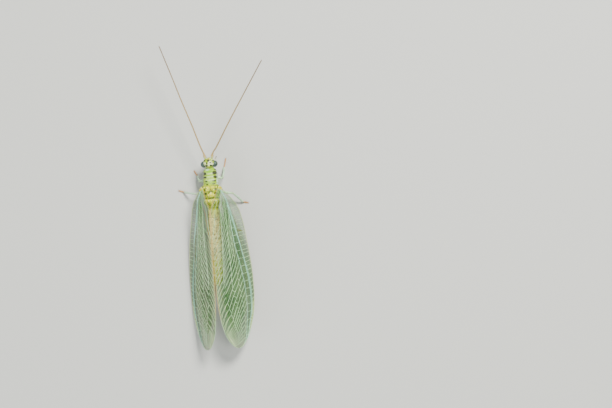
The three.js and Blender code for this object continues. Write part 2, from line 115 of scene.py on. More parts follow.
# Head capsule as level sections: height, half width, front, back
HEAD_STATIONS = np.array([
    [1.42, 0.06, -2.44, -2.3],
    [1.46, 0.18, -2.54, -2.2],
    [1.6, 0.26, -2.6, -2.08],
    [1.8, 0.36, -2.64, -1.97],
    [2.02, 0.43, -2.66, -1.91],
    [2.25, 0.455, -2.67, -1.87],
    [2.45, 0.44, -2.63, -1.86],
    [2.6, 0.38, -2.55, -1.89],
    [2.7, 0.26, -2.45, -1.97],
    [2.75, 0.08, -2.3, -2.16],
]).T
HEAD_LEVELS = 150
EYE_CENTRE = (0.42, -2.15, 2.26)
EYE_AXES = (0.27, 0.265, 0.31)
EYE_FACETS = 760
EYE_ROWS, EYE_AROUND = 120, 240

# Lip: top, depth down from it, half width, half length and place back
LIP = {"top": 1.5, "drop": 0.5, "width": 0.21, "length": 0.13, "back": -2.42, "rows": 40, "around": 32}
# Jaw, and two palps with their joints and radius, as left-hand routes of (across, back, up)
JAW = ((0.14, -2.4, 1.42), (0.19, -2.46, 1.22), (0.1, -2.5, 1.04), (0.01, -2.5, 0.98))
PALPS = (
    (((0.1, -2.38, 1.4), (0.3, -2.46, 1.12), (0.39, -2.64, 0.92), (0.41, -2.76, 0.72)), 5, 0.038),
    (((0.06, -2.3, 1.3), (0.17, -2.3, 1.0), (0.2, -2.38, 0.72)), 3, 0.034),
)

# Feelers: across, back, up
FEELER_PATHS = {
    "left": [(0.29, -2.6, 2.36), (0.31, -2.86, 2.44), (0.5, -3.45, 2.62), (1.03, -5.26, 2.95),
             (1.72, -7.38, 3.2), (2.33, -9.42, 3.5), (3.05, -11.79, 4.0)],
    "right": [(-0.29, -2.6, 2.36), (-0.33, -2.86, 2.46), (-0.76, -3.45, 2.85), (-1.97, -5.2, 3.9),
              (-3.37, -7.17, 4.95), (-4.58, -8.84, 5.9), (-5.39, -9.97, 6.5)],
}
FEELER_RINGS = 78
FEELER_HAIRS = 900

# Legs: hip, knee, ankle and toe, each as out, back, up
LEG_POINTS = {
    "foreleg_left": [(0.28, -1.1, 1.62), (0.95, -0.8, 1.25), (1.32, -1.28, 0.2), (1.54, -1.68, 0.05)],
    "foreleg_right": [(0.28, -1.1, 1.62), (0.86, -0.96, 1.25), (0.88, -1.78, 0.2), (1.04, -2.47, 0.05)],
    "midleg_left": [(0.36, 0.05, 1.42), (1.35, 0.14, 1.35), (2.44, -0.06, 0.2), (2.88, -0.22, 0.05)],
    "midleg_right": [(0.36, 0.05, 1.42), (1.61, 0.3, 1.4), (2.19, 1.04, 0.2), (2.56, 1.13, 0.05)],
    "hindleg_left": [(0.26, 0.98, 1.5), (0.6, 2.88, 0.95), (1.34, 3.38, 0.2), (1.76, 3.6, 0.05)],
    "hindleg_right": [(0.26, 0.98, 1.5), (0.58, 2.85, 0.95), (1.4, 3.2, 0.2), (1.85, 3.33, 0.05)],
}
LEG_ROWS, FOOT_ROWS = 60, 100
HEEL_LIFT = 0.035

# Hairs: the way that their roots' first corner turns from, and how many grow on body and head
HAIR_LEAN = (0.31, 0.27, 0.91)
HAIR_RADIUS = 0.004
BODY_HAIRS, HEAD_HAIRS = 2600, 420
VEIN_HAIR_GAP = 0.075

# Forewing folded like a roof: back, front margin out and up, hind margin out and up
FORE_STATIONS = np.array([
    [-0.14, 0.9, 2.56, 0.6, 2.84],
    [0.12, 1.06, 2.48, 0.5, 3.04],
    [0.6, 1.43, 2.12, 0.4, 3.32],
    [1.3, 1.8, 1.62, 0.1, 3.72],
    [2.4, 2.06, 1.04, 0.05, 4.0],
    [4.1, 2.31, 0.58, 0.05, 4.12],
    [6.0, 2.49, 0.3, 0.05, 4.14],
    [8.5, 2.53, 0.2, 0.08, 4.1],
    [9.8, 2.43, 0.36, 0.16, 3.95],
    [10.8, 2.23, 0.68, 0.29, 3.66],
    [11.6, 2.0, 1.08, 0.48, 3.26],
    [12.2, 1.73, 1.52, 0.76, 2.84],
    [12.5, 1.5, 1.85, 1.0, 2.52],
    [12.62, 1.25, 2.16, 1.25, 2.16],
]).T
WING_BULGE = 0.17
WING_RIPPLE = 0.02
FLARE = {"depth": 0.12, "share": 0.15, "reach": 0.1}
# How far each front margin's first half stands out from the stations, most at this place back
WING_SPREADS = {"left": -0.1, "right": 0.08}
SPREAD_BACK, SPREAD_REACH = 1.9, 1.5
FILM_THICKNESS = 0.012
FILM_COLUMNS = 46
HIND_DEPTH = 0.34
# Hindwing: back, and the share of the forewing's chord where its front and hind margins lie
HIND_STATIONS = np.array([
    [0.9, 0.34, 0.5],
    [1.5, 0.22, 0.62],
    [2.6, 0.14, 0.74],
    [4.5, 0.1, 0.82],
    [7.0, 0.09, 0.84],
    [9.0, 0.12, 0.8],
    [10.2, 0.18, 0.72],
    [10.9, 0.26, 0.62],
    [11.25, 0.36, 0.52],
    [11.36, 0.44, 0.44],
]).T

# Long veins as (share along the wing, share of the chord) points
FORE_VEINS = {
    "radius": [(0.0, 0.42), (0.06, 0.405), (0.13, 0.385), (0.22, 0.35), (0.3, 0.3), (0.37, 0.235), (0.45, 0.17),
               (0.55, 0.12), (0.65, 0.092), (0.75, 0.078), (0.88, 0.06), (0.955, 0.0)],
    "sector": [(0.1, 0.395), (0.16, 0.425), (0.25, 0.44), (0.36, 0.415), (0.45, 0.355), (0.55, 0.305),
               (0.65, 0.25), (0.75, 0.2), (0.85, 0.15), (0.92, 0.1), (0.975, 0.04)],
    "media": [(0.0, 0.55), (0.1, 0.53), (0.2, 0.56), (0.35, 0.585), (0.5, 0.6), (0.62, 0.6), (0.7, 0.55),
              (0.8, 0.47), (0.88, 0.4), (0.94, 0.34)],
    "cubitus": [(0.0, 0.72), (0.1, 0.69), (0.2, 0.72), (0.35, 0.755), (0.5, 0.79), (0.62, 0.8), (0.7, 0.78),
                (0.78, 0.72), (0.86, 0.63), (0.93, 0.54)],
    "anal": [(0.0, 0.82), (0.08, 0.82), (0.16, 0.88), (0.26, 0.95), (0.32, 1.0)],
    "jugal": [(0.0, 0.92), (0.06, 0.93), (0.11, 0.96), (0.15, 1.0)],
}
HIND_VEINS = {
    "radius": [(0.0, 0.3), (0.08, 0.24), (0.2, 0.15), (0.35, 0.1), (0.5, 0.075), (0.75, 0.06), (0.88, 0.05),
               (0.95, 0.0)],
    "sector": [(0.08, 0.25), (0.16, 0.28), (0.3, 0.28), (0.5, 0.25), (0.7, 0.2), (0.85, 0.15), (0.97, 0.05)],
    "media": [(0.0, 0.5), (0.12, 0.48), (0.3, 0.52), (0.5, 0.55), (0.62, 0.56), (0.72, 0.5), (0.82, 0.42),
              (0.92, 0.34)],
    "cubitus": [(0.0, 0.7), (0.12, 0.68), (0.3, 0.74), (0.5, 0.78), (0.65, 0.8), (0.75, 0.74), (0.84, 0.64),
                (0.93, 0.52)],
    "anal": [(0.0, 0.84), (0.1, 0.84), (0.2, 0.92), (0.28, 1.0)],
}
# Weight and tone of the two heaviest long veins, and of the others
VEIN_WEIGHTS = {"radius": (1.05, -1.0), "sector": (0.9, -0.7)}
PLAIN_WEIGHT = (0.8, 0.0)
ZIGZAG = 0.006

# Slanting veins: first start and end along the wing, how far on each meets media, cubitus and margin, how fast
# they crowd together towards the tip, and spacing
SECTOR_STARTS = (-0.06, 0.94)
SECTOR_REACHES = (0.13, 0.22, 0.3)
SECTOR_CROWDING = 2.65
FORE_SPACING = 0.037
HIND_SPACING = 0.05
MEDIA_STOP = 0.6
ANAL_END = 0.3
SUBCOSTA_GAP = 0.1

# Dark marks as ((across, back), (half width, half length)), on pronotum and thorax, and then on the head
BACK_MARKS = (
    ((0.41, -1.4), (0.15, 0.13)), ((0.39, -1.1), (0.15, 0.09)), ((0.31, -0.79), (0.1, 0.07)),
    ((0.25, -0.55), (0.1, 0.045)), ((0.46, -1.68), (0.08, 0.06)),
    ((-0.4, -1.43), (0.18, 0.14)), ((-0.42, -1.1), (0.14, 0.1)), ((-0.34, -0.8), (0.15, 0.05)),
    ((-0.28, -0.55), (0.13, 0.045)), ((-0.47, -1.7), (0.08, 0.07)),
)
HEAD_MARKS = (
    ((0.0, -2.43), (0.12, 0.1)), ((0.13, -2.24), (0.08, 0.065)), ((-0.17, -2.26), (0.1, 0.065)),
    ((0.16, -2.03), (0.12, 0.09)), ((-0.19, -2.03), (0.12, 0.075)), ((-0.41, -1.99), (0.11, 0.09)),
    ((0.41, -1.99), (0.1, 0.08)), ((0.32, -2.44), (0.085, 0.07)), ((-0.36, -2.42), (0.075, 0.06)),
)
HEAD_YELLOWS = (((0.0, -2.57), (0.1, 0.06)), ((0.0, -1.88), (0.13, 0.05)), ((-0.46, -1.87), (0.1, 0.06)),
                ((0.44, -1.9), (0.1, 0.07)))

# The camera, read from the photo
PHOTO_WIDTH = 612
PHOTO_HEIGHT = 408
PIXELS_PER_MM = 12.6
HINGE_PIXEL = (210.6, 191.0)
LEAN = math.radians(4.4)
ROLL = math.radians(7.0)
FOCUS_HEIGHT = 2.5
SENSOR_WIDTH = 36.0

# Studio: lights by their place round the aim in reaches, size in metres, the setting and share of their power,
# and colour
LIGHT_AIM = (0.0, 2.0, 2.0)
LIGHT_REACH = 0.12
LIGHTS = {
    "key_light": ((-0.6, -0.7, 1.3), 0.06, "key_power", 1.0, (1.0, 0.98, 0.93)),
    "fill_light": ((1.2, 0.5, 1.1), 0.16, "fill_power", 1.0, (0.94, 0.97, 1.0)),
    "back_light": ((0.2, 1.5, 0.9), 0.12, "fill_power", 0.8, (1.0, 1.0, 0.96)),
}
SKY_COLOUR, SKY_STRENGTH = (0.86, 0.9, 0.92, 1), 0.35
FLOOR_SIZE = 3.0

rng = np.random.default_rng(7)


def spot(points):
    """Insect millimetres to frame metres, added to the frame's own middle, hinge and floor."""
    return np.add((MIDDLE, HINGE, FLOOR), points) * MM


def joined(across, back, up):
    return np.stack(np.broadcast_arrays(across, back, up), axis=-1)


def mirrored(points, side):
    """Points of the left side, or with their across turned round for the right."""
    return np.asarray(points) * (side, 1, 1)


def smooth(x, xs, ys):
    """A curve through points: cubic pieces whose slope at each point is that of its neighbours' chord."""
    xs, ys = np.asarray(xs, float), np.asarray(ys, float)
    slope = np.gradient(ys, xs)
    k = np.clip(np.searchsorted(xs, x) - 1, 0, len(xs) - 2)
    step = xs[k + 1] - xs[k]
    t = np.clip((x - xs[k]) / step, 0, 1)
    start = ys[k] * (1 + 2 * t) * (1 - t) ** 2 + step * slope[k] * t * (1 - t) ** 2
    return start + ys[k + 1] * t ** 2 * (3 - 2 * t) - step * slope[k + 1] * t ** 2 * (1 - t)


def read(stations, at):
    """Smooth curves through a table's columns, at places in its first column's measure."""
    return [smooth(at, stations[0], column) for column in stations[1:]]


def route(points, count):
    """Points spread evenly along a smooth curve through a few given ones."""
    points = np.asarray(points, float)
    reach = np.concatenate([[0], np.cumsum(np.linalg.norm(np.diff(points, axis=0), axis=1))])
    along = np.linspace(0, reach[-1], count)
    return np.stack([smooth(along, reach, column) for column in points.T], axis=-1)


def sampled(path, at):
    """A path's columns at shares of its steps."""
    steps = np.linspace(0, 1, len(path))
    return np.stack([np.interp(at, steps, column) for column in path.T], axis=-1)


def followed(path, at):
    """Points at shares of a path's steps, and the way that the path runs there."""
    return sampled(path, at), unit(sampled(np.gradient(path, axis=0), at))


def bump(distance, reach):
    """A smooth hill: one at no distance, fading with the square of distance over reach."""
    return np.exp(-(distance / reach) ** 2)


def rounded(t):
    """One along a path, closing like a square root over the last fiftieth at either end."""
    return np.sqrt(np.clip(np.minimum((t + 0.004) / 0.02, (1.004 - t) / 0.02), 0, 1))


def unit(vectors):
    return vectors / np.maximum(np.linalg.norm(vectors, axis=-1, keepdims=True), 1e-12)


def turns(count):
    """Angles spread evenly round a circle."""
    return 2 * np.pi * np.arange(count) / count


def spokes(along, lean, angle):
    """Directions square to a way along: cos angle * side + sin angle * rise, with side across the way and the
    leaning direction, and rise across side and the way."""
    side = unit(np.cross(along, lean))
    rise = np.cross(side, along)
    return np.cos(angle)[..., None] * side + np.sin(angle)[..., None] * rise


def outward(points, blocks):
    """Faces turned so that the volume they enclose, the sum of their corners' triple products, is positive."""
    volume = 0.0
    for block in blocks:
        first = points[block[:, 0]]
        for k in range(1, block.shape[1] - 1):
            volume += np.einsum("ij,ij->", first, np.cross(points[block[:, k]], points[block[:, k + 1]]))
    return blocks if volume > 0 else [block[:, ::-1] for block in blocks]


class Shape:
    """Points, faces and per-point values gathered from several closed surfaces."""

    def __init__(self):
        self.points, self.blocks, self.values, self.maps, self.count = [], [], [], [], 0

    def add(self, points, blocks, uv=None, **values):
        """Adds a grid of points in insect millimetres, with values over it and places in the OFBake map."""
        grid, points = points.shape[:-1], spot(points).reshape(-1, 3)
        self.blocks.extend([block + self.count for block in outward(points, blocks)])
        self.points.append(points)
        self.values.append({name: np.broadcast_to(value, grid).ravel() for name, value in values.items()})
        if uv is not None:
            self.maps.append(uv.reshape(-1, 2))
        self.count += len(points)

    def build(self, name, slot, material, replaced=()):
        """One object at the origin, riding on the still body, with its values as point attributes."""
        points = np.concatenate(self.points)
        mesh = bpy.data.meshes.new(name)
        corners = np.concatenate([block.ravel() for block in self.blocks])
        totals = np.concatenate([np.full(len(block), block.shape[1]) for block in self.blocks])
        starts = np.concatenate([[0], np.cumsum(totals)[:-1]])
        mesh.vertices.add(len(points))
        mesh.vertices.foreach_set("co", points.astype(np.float32).ravel())
        mesh.loops.add(len(corners))
        mesh.loops.foreach_set("vertex_index", corners.astype(np.int32))
        mesh.polygons.add(len(totals))
        mesh.polygons.foreach_set("loop_start", starts.astype(np.int32))
        mesh.polygons.foreach_set("use_smooth", np.full(len(totals), True))
        for key in self.values[0]:
            column = np.concatenate([values[key] for values in self.values])
            attribute = mesh.attributes.new(key, "FLOAT", "POINT")
            attribute.data.foreach_set("value", column.astype(np.float32))
        if self.maps:
            layer = mesh.uv_layers.new(name="OFBake")
            layer.data.foreach_set("uv", np.concatenate(self.maps)[corners].astype(np.float32).ravel())
        mesh.update(calc_edges=True)
        mesh.validate()
        mesh.materials.append(material)
        obj = bpy.data.objects.new(name, mesh)
        bpy.context.scene.collection.objects.link(obj)
        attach(obj, "root")
        if replaced:
            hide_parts(*replaced)


def ring_faces(rows, sides):
    """Faces of rows rings of sides points, with one flat cap at each end."""
    row = np.arange(rows - 1)[:, None] * sides
    side = np.arange(sides)[None, :]
    beside = (side + 1) % sides
    quads = np.stack([row + side, row + beside, row + sides + beside, row + sides + side], axis=-1)
    return [quads.reshape(-1, 4), side[:, ::-1], (rows - 1) * sides + side]


def plate_faces(rows, columns):
    """Faces of two grids of rows by columns, one above the other, joined along their four edges."""
    at = np.arange(rows * columns).reshape(rows, columns)
    top = np.stack([at[:-1, :-1], at[:-1, 1:], at[1:, 1:], at[1:, :-1]], axis=-1).reshape(-1, 4)
    bottom = top[:, ::-1] + rows * columns
    rim = np.concatenate([at[0, :-1], at[:-1, -1], at[-1, :0:-1], at[:0:-1, 0]])
    ahead = np.roll(rim, -1)
    edge = np.stack([ahead, rim, rim + rows * columns, ahead + rows * columns], axis=-1)
    return [top, bottom, edge]


def add_tube(shape, path, radius, lean, sides, **values):
    """Adds a round tube along a path: each ring is centre + radius * spoke, and has its own values."""
    along = unit(np.gradient(path, axis=0))[:, None]
    spread = spokes(along, np.broadcast_to(lean, path.shape)[:, None], turns(sides))
    rings = {name: np.asarray(value)[..., None] for name, value in values.items()}
    shape.add(path[:, None] + radius[:, None, None] * spread, ring_faces(len(path), sides), **rings)


def add_bristles(shape, roots, ways, lengths, radius, patch, keep=slice(None)):
    """Short tapered hairs: three points round the root, and one tip a length along the hair's way. Each hair's
    corner of the OFBake map is a small patch at its root's place on the surface's own unwrap."""
    roots, ways, lengths, patch = roots[keep], unit(ways[keep]), lengths[keep], patch[keep]
    base = (roots - 0.01 * ways)[:, None] + radius * spokes(ways[:, None], HAIR_LEAN, turns(3))
    tip = roots + ways * lengths[:, None]
    at = np.arange(len(roots))[:, None] * 4
    corners = np.concatenate([at + face for face in ([0, 1, 3], [1, 2, 3], [2, 0, 3], [2, 1, 0])])
    offset = np.array([[0, 0], [0.003, 0], [0, 0.003], [0.003, 0.003]])
    shape.add(np.concatenate([base, tip[:, None]], axis=1), [corners], patch[:, None] * 0.99 + offset)


def above_floor(roots, ways, length, least):
    """Which hairs end at least so high, were they all this long."""
    return roots[:, 2] + length * unit(ways)[:, 2] > least


class Sum:
    """A number socket that adds its Math nodes as Python expressions are written."""

    def __init__(self, recipe, socket):
        self.recipe, self.socket = recipe, socket

    def __add__(self, other):
        return self.recipe.maths("ADD", self, other)

    def __radd__(self, other):
        return self.recipe.maths("ADD", other, self)

    def __sub__(self, other):
        return self.recipe.maths("SUBTRACT", self, other)

    def __rsub__(self, other):
        return self.recipe.maths("SUBTRACT", other, self)

    def __mul__(self, other):
        return self.recipe.maths("MULTIPLY", self, other)

    def __rmul__(self, other):
        return self.recipe.maths("MULTIPLY", other, self)

    def __truediv__(self, other):
        return self.recipe.maths("DIVIDE", self, other)

    def __abs__(self):
        return self.recipe.maths("ABSOLUTE", self)


class Recipe:
    """A material being made. One method adds any node from its type, settings and socket values or links."""

    def __init__(self, name):
        self.material = bpy.data.materials.new(name)
        self.material.use_nodes = True
        self.tree = self.material.node_tree
        self.tree.nodes.clear()

    def node(self, kind, settings=None, numbered=None, **named):
        """A node whose sockets are given by number or by name, with _ for a space."""
        made = self.tree.nodes.new(kind)
        for key, value in (settings or {}).items():
            setattr(made, key, value)
        for key, value in {**(numbered or {}), **named}.items():
            socket = made.inputs[key.replace("_", " ") if isinstance(key, str) else key]
            if isinstance(value, Sum):
                value = value.socket
            if isinstance(value, bpy.types.NodeSocket):
                self.tree.links.new(value, socket)
            elif socket.type == "RGBA":
                socket.default_value = (*value[:3], 1.0)
            else:
                socket.default_value = value
        return made

    def maths(self, operation, *values):
        made = self.node("ShaderNodeMath", {"operation": operation}, dict(enumerate(values)))
        return Sum(self, made.outputs[0])

    def place(self):
        """Across, back and up in insect millimetres, from the object's own coordinates."""
        here = self.node("ShaderNodeTexCoord").outputs["Object"]
        parts = self.node("ShaderNodeSeparateXYZ", Vector=here)
        across, back, up = [Sum(self, parts.outputs[k]) for k in range(3)]
        return across / MM - MIDDLE, back / MM - HINGE, up / MM - FLOOR

    def object_vector(self, scale):
        """Object coordinates in millimetres, stretched by a scale."""
        here = self.node("ShaderNodeTexCoord").outputs["Object"]
        return self.node("ShaderNodeMapping", {"vector_type": "POINT"}, Vector=here,
                         Scale=[s / MM for s in scale]).outputs[0]

    def attribute(self, name):
        return Sum(self, self.node("ShaderNodeAttribute", {"attribute_name": name}).outputs["Fac"])

    def noise(self, scale, detail=2.0, stretch=(1, 1, 1)):
        made = self.node("ShaderNodeTexNoise", Vector=self.object_vector(stretch), Scale=scale, Detail=detail)
        return Sum(self, made.outputs["Fac"])

    def cells(self, scale, feature="F1"):
        made = self.node("ShaderNodeTexVoronoi", {"feature": feature}, Vector=self.object_vector((1, 1, 1)),
                         Scale=scale)
        return Sum(self, made.outputs["Distance"])

    def ease(self, value, low, high):
        """Zero below low, one above high, and smooth between; the other way round where low is above high."""
        turned = low > high
        made = self.node("ShaderNodeMapRange", {"interpolation_type": "SMOOTHSTEP"}, Value=value,
                         From_Min=min(low, high), From_Max=max(low, high), To_Min=float(turned),
                         To_Max=float(not turned))
        return Sum(self, made.outputs["Result"])

    def mix(self, share, under, over):
        """One colour laid over another by a share."""
        made = self.node("ShaderNodeMix", {"data_type": "RGBA", "clamp_factor": True},
                         {0: share, 6: under, 7: over})
        return made.outputs[2]

    def layers(self, colour, *coats):
        """A colour with others laid over it in turn, each given as its share and itself."""
        for share, over in coats:
            colour = self.mix(share, colour, over)
        return colour

    def mottled(self, noise, under, over, low=0.35, high=0.65):
        """Two colours that drift into each other over a noise."""
        return self.mix(self.ease(noise, low, high), under, over)

    def blot(self, across, back, place, size, soft=0.35):
        """One inside an oval on the back of the insect, fading to none past its edge."""
        x, y = (across - place[0]) / size[0], (back - place[1]) / size[1]
        return self.ease(x * x + y * y, 1 + soft, 1 - soft)

    def blots(self, across, back, marks, soft):
        return self.most(*[self.blot(across, back, *mark, soft) for mark in marks])

    def line(self, value, width):
        """One where a value is nothing, fading to none at a width either way."""
        return self.ease(abs(value), width, 0.0)

    def most(self, *masks):
        """The greatest of several masks."""
        total = masks[0]
        for mask in masks[1:]:
            total = self.maths("MAXIMUM", total, mask)
        return total

    def bump(self, height, strength, distance):
        return self.node("ShaderNodeBump", Height=height, Strength=strength, Distance=distance * MM).outputs[0]

    def finish(self, **inputs):
        """The surface shader with its inputs, joined to the output."""
        shader = self.node("ShaderNodeBsdfPrincipled", **inputs)
        self.node("ShaderNodeOutputMaterial", Surface=shader.outputs[0])
        return self.material


def tint(name, description, *colour):
    return FloatVectorProperty(name=name, description=description, subtype="COLOR", default=colour)


def number(name, description, default, least, **more):
    return FloatProperty(name=name, description=description, default=default, min=least, **more)


class LacewingColours(bpy.types.PropertyGroup):
    """Colours of the insect's own finishes, and of the floor."""
    mint: tint("Mint", "Front of the thorax", 0.42, 0.62, 0.18)
    sulphur: tint("Sulphur", "Middle and rear thorax", 0.46, 0.54, 0.02)
    cream: tint("Cream", "Front of the abdomen", 0.93, 0.88, 0.5)
    mark: tint("Mark", "Dark marks on head and pronotum", 0.006, 0.008, 0.006)
    straw: tint("Straw", "Feelers", 0.4, 0.27, 0.08)
    vein: tint("Vein", "Wing veins", 0.42, 0.72, 0.37)
    vein_light: tint("Vein, lighter", "Lighter stretches of the wing veins", 0.62, 0.84, 0.5)
    front_vein: tint("Front veins", "The paired veins behind the front margin", 0.36, 0.78, 0.62)
    hind_margin: tint("Margins", "Veins along the wings' margins", 0.5, 0.36, 0.12)
    film: tint("Film", "Wing film", 0.05, 0.145, 0.035)
    film_light: tint("Film, lighter", "Lighter stretches of the wing film", 0.12, 0.25, 0.08)
    eye: tint("Eye", "Compound eyes", 0.03, 0.06, 0.035)
    richness: number("Richness", "Saturation of the cuticle's colours", 1.45, 0.0)
    depth: number("Depth", "Lightness of the cuticle's colours", 0.84, 0.0)
    floor: tint("Floor", "Studio floor", 0.56, 0.57, 0.54)


class LacewingSizes(bpy.types.PropertyGroup):
    """Fine sizes, in millimetres, and how finely the surfaces are divided."""
    long_vein: number("Long vein", "Radius of the long veins", 0.0245, 0.005)
    cross_vein: number("Cross vein", "Radius of the cross veins", 0.0152, 0.003)
    film_opacity: number("Film opacity", "How much the wing film hides", 0.45, 0.0, max=1.0, subtype="FACTOR")
    hair: number("Hair", "Length of the body's hairs", 0.13, 0.01)
    body_rows: IntProperty(name="Body rows", description="Rings along the body", default=420, min=60)
    film_rows: IntProperty(name="Film rows", description="Rows along each wing film", default=150, min=40)


class StageSettings(bpy.types.PropertyGroup):
    """The studio."""
    key_power: number("Key", "Power of the main light", 0.8, 0.0, unit="POWER")
    fill_power: number("Fill", "Power of the soft light", 0.2, 0.0, unit="POWER")
    lens: number("Lens", "Focal length", 300.0, 10.0, unit="CAMERA")


def colours():
    return bpy.context.scene.lacewing_colours


def sizes():
    return bpy.context.scene.lacewing_sizes


def down_abdomen(back):
    """The share of the abdomen's length that lies before a place."""
    return (back - ABDOMEN_START) / (ABDOMEN_END - ABDOMEN_START)


def body_relief(across, back, rise):
    """How far the body's skin stands off its plain ovals, in millimetres: creases, lobes, shields and segment rims,
    each a smooth hill or valley, on the upper side where the real plates are."""
    above = np.clip(rise * 2.5, 0, 1)
    out = np.abs(across)
    creases = -0.03 * bump(back + 1.27, 0.05) - 0.025 * bump(back + 1.0, 0.05) - 0.02 * bump(back + 0.62, 0.04)
    collar = 0.03 * bump(back + 1.62, 0.08)
    groove = -0.015 * bump(out, 0.04) * bump(back + 1.1, 0.55)
    lobes = 0.06 * bump(out - 0.29, 0.17) * bump(back + 0.08, 0.22)
    shield = 0.08 * bump(out, 0.15) * bump(back - 0.3, 0.15)
    fork = -0.03 * bump(out - 0.45 * (back + 0.15), 0.035) * bump(back - 0.05, 0.22)
    rear = 0.055 * bump(out - 0.27, 0.14) * bump(back - 0.95, 0.17)
    rear = rear + 0.04 * bump(out, 0.1) * bump(back - 1.1, 0.12)
    shoulders = 0.44 * bump(rise - 0.5, 0.28) * bump(back + 0.16, 0.26)
    shoulders = shoulders - 0.1 * bump(rise - 0.5, 0.12) * bump(back + 0.2, 0.1)
    hips = 0.16 * bump(rise - 0.52, 0.22) * bump(back - 0.86, 0.2)
    share = down_abdomen(back) * ABDOMEN_SEGMENTS
    rims = 0.02 * (share - np.floor(share)) - 0.045 * bump(share - np.round(share), 0.07)
    fold = -0.03 * bump(rise, 0.18)
    sides = -0.03 * bump(rise + 0.15, 0.12) * bump(back - 0.2, 1.1)
    upper = above * (creases + collar + groove + lobes + shield + fork + rear + shoulders + hips)
    return upper + np.where(share > 0.2, rims, 0) + np.where(share > 0.2, fold, 0) + sides


def body_point(back, angle, lift=0.0):
    """A point of the body's skin: a slightly squared oval across the body, whose half width and half heights are
    smooth curves along it, moved out by the relief and a lift."""
    axis, width, up, down = read(BODY_STATIONS, back)
    turn, rise = np.cos(angle), np.sin(angle)
    out = np.sign(turn) * np.abs(turn) ** BODY_SQUARENESS
    lean = np.sign(rise) * np.abs(rise) ** BODY_SQUARENESS
    plain = width * out
    stand = body_relief(plain, back, rise) + lift
    sway = ABDOMEN_SWAY * np.clip(down_abdomen(back), 0, 1) ** 2
    left = np.clip((BODY_STATIONS[0][-1] - back) / ABDOMEN_CAP, 0, 1)
    cap = np.sqrt(1 - (1 - left) ** 2)
    height = axis + (np.where(rise > 0, up, down) * lean + stand * rise) * cap
    return joined((plain + stand * turn) * cap + sway, back, height)


def body_rows(count):
    """Rows along the body, crowded into the rounded end like the steps of a sine."""
    start, end = BODY_STATIONS[0][0], BODY_STATIONS[0][-1]
    turn = np.linspace(0, np.pi / 2, ABDOMEN_CAP_ROWS)
    return np.concatenate([np.linspace(start, end - ABDOMEN_CAP, count, endpoint=False),
                           end - ABDOMEN_CAP * (1 - np.sin(turn))])


def head_point(level, angle, lift=0.0):
    """A point of the head capsule: level ovals from the mouth to the crown, with sockets at the feelers and a
    furrow above the mouth. Angle 0 is the left side and a quarter turn is the back."""
    width, front, back = read(HEAD_STATIONS, level)
    turn, rise = np.cos(angle), np.sin(angle)
    across, middle, reach = width * turn, (front + back) / 2, (back - front) / 2
    ahead = np.clip(-rise * 2, 0, 1)
    socket = 0.03 * bump(np.hypot(np.abs(across) - 0.29, level - 2.36) - 0.12, 0.03)
    furrow = -0.02 * bump(level - 1.85, 0.03) + 0.02 * bump(level - 1.98, 0.08) * bump(across, 0.2)
    crown = 0.02 * bump(np.abs(across) - 0.16, 0.1) * bump(level - 2.66, 0.08)
    stand = ahead * (socket + furrow) + crown + lift
    return joined(across + stand * turn, middle + (reach + stand) * rise, level)


def pronotum_colour(r, tone, x, y):
    """Mint with yellow-green sides, a green and a bluish field in front, painted highlights as pale streaks beside
    the creases, and painted shade as olive lines in the creases.
    """
    out = abs(x)
    # Painted highlights: pale lines laid beside the creases of the relief, where light catches their edges.
    painted_highlights = r.most(*[r.line(y - place, 0.045) for place in (-1.37, -1.14, -0.87)]) * r.ease(out, 0.5, 0.3)
    # Painted shade: olive lines along the creases of the relief, where shade falls.
    creases = r.most(*[r.line(y - place, 0.035) for place in (-1.27, -1.0, -0.62)])
    return r.layers(
        r.mottled(r.noise(4.0, 2.0), tone.mint, (0.58, 0.74, 0.34)),
        (r.ease(out, 0.28, 0.5), (0.36, 0.52, 0.04)),
        (r.ease(x, -0.46, -0.54), (0.62, 0.8, 0.62)),
        (r.blot(x, y, (0.03, -1.55), (0.24, 0.1), 0.8) * 0.8, (0.3, 0.6, 0.08)),
        (r.blot(x, y, (0.16, -1.72), (0.14, 0.08), 0.8) * 0.7, (0.62, 0.76, 0.7)),
        # Painted highlights beside the creases.
        (painted_highlights * 0.8, (0.78, 0.88, 0.58)),
        # Painted shade in the creases.
        (creases * 0.55, (0.3, 0.4, 0.06)))


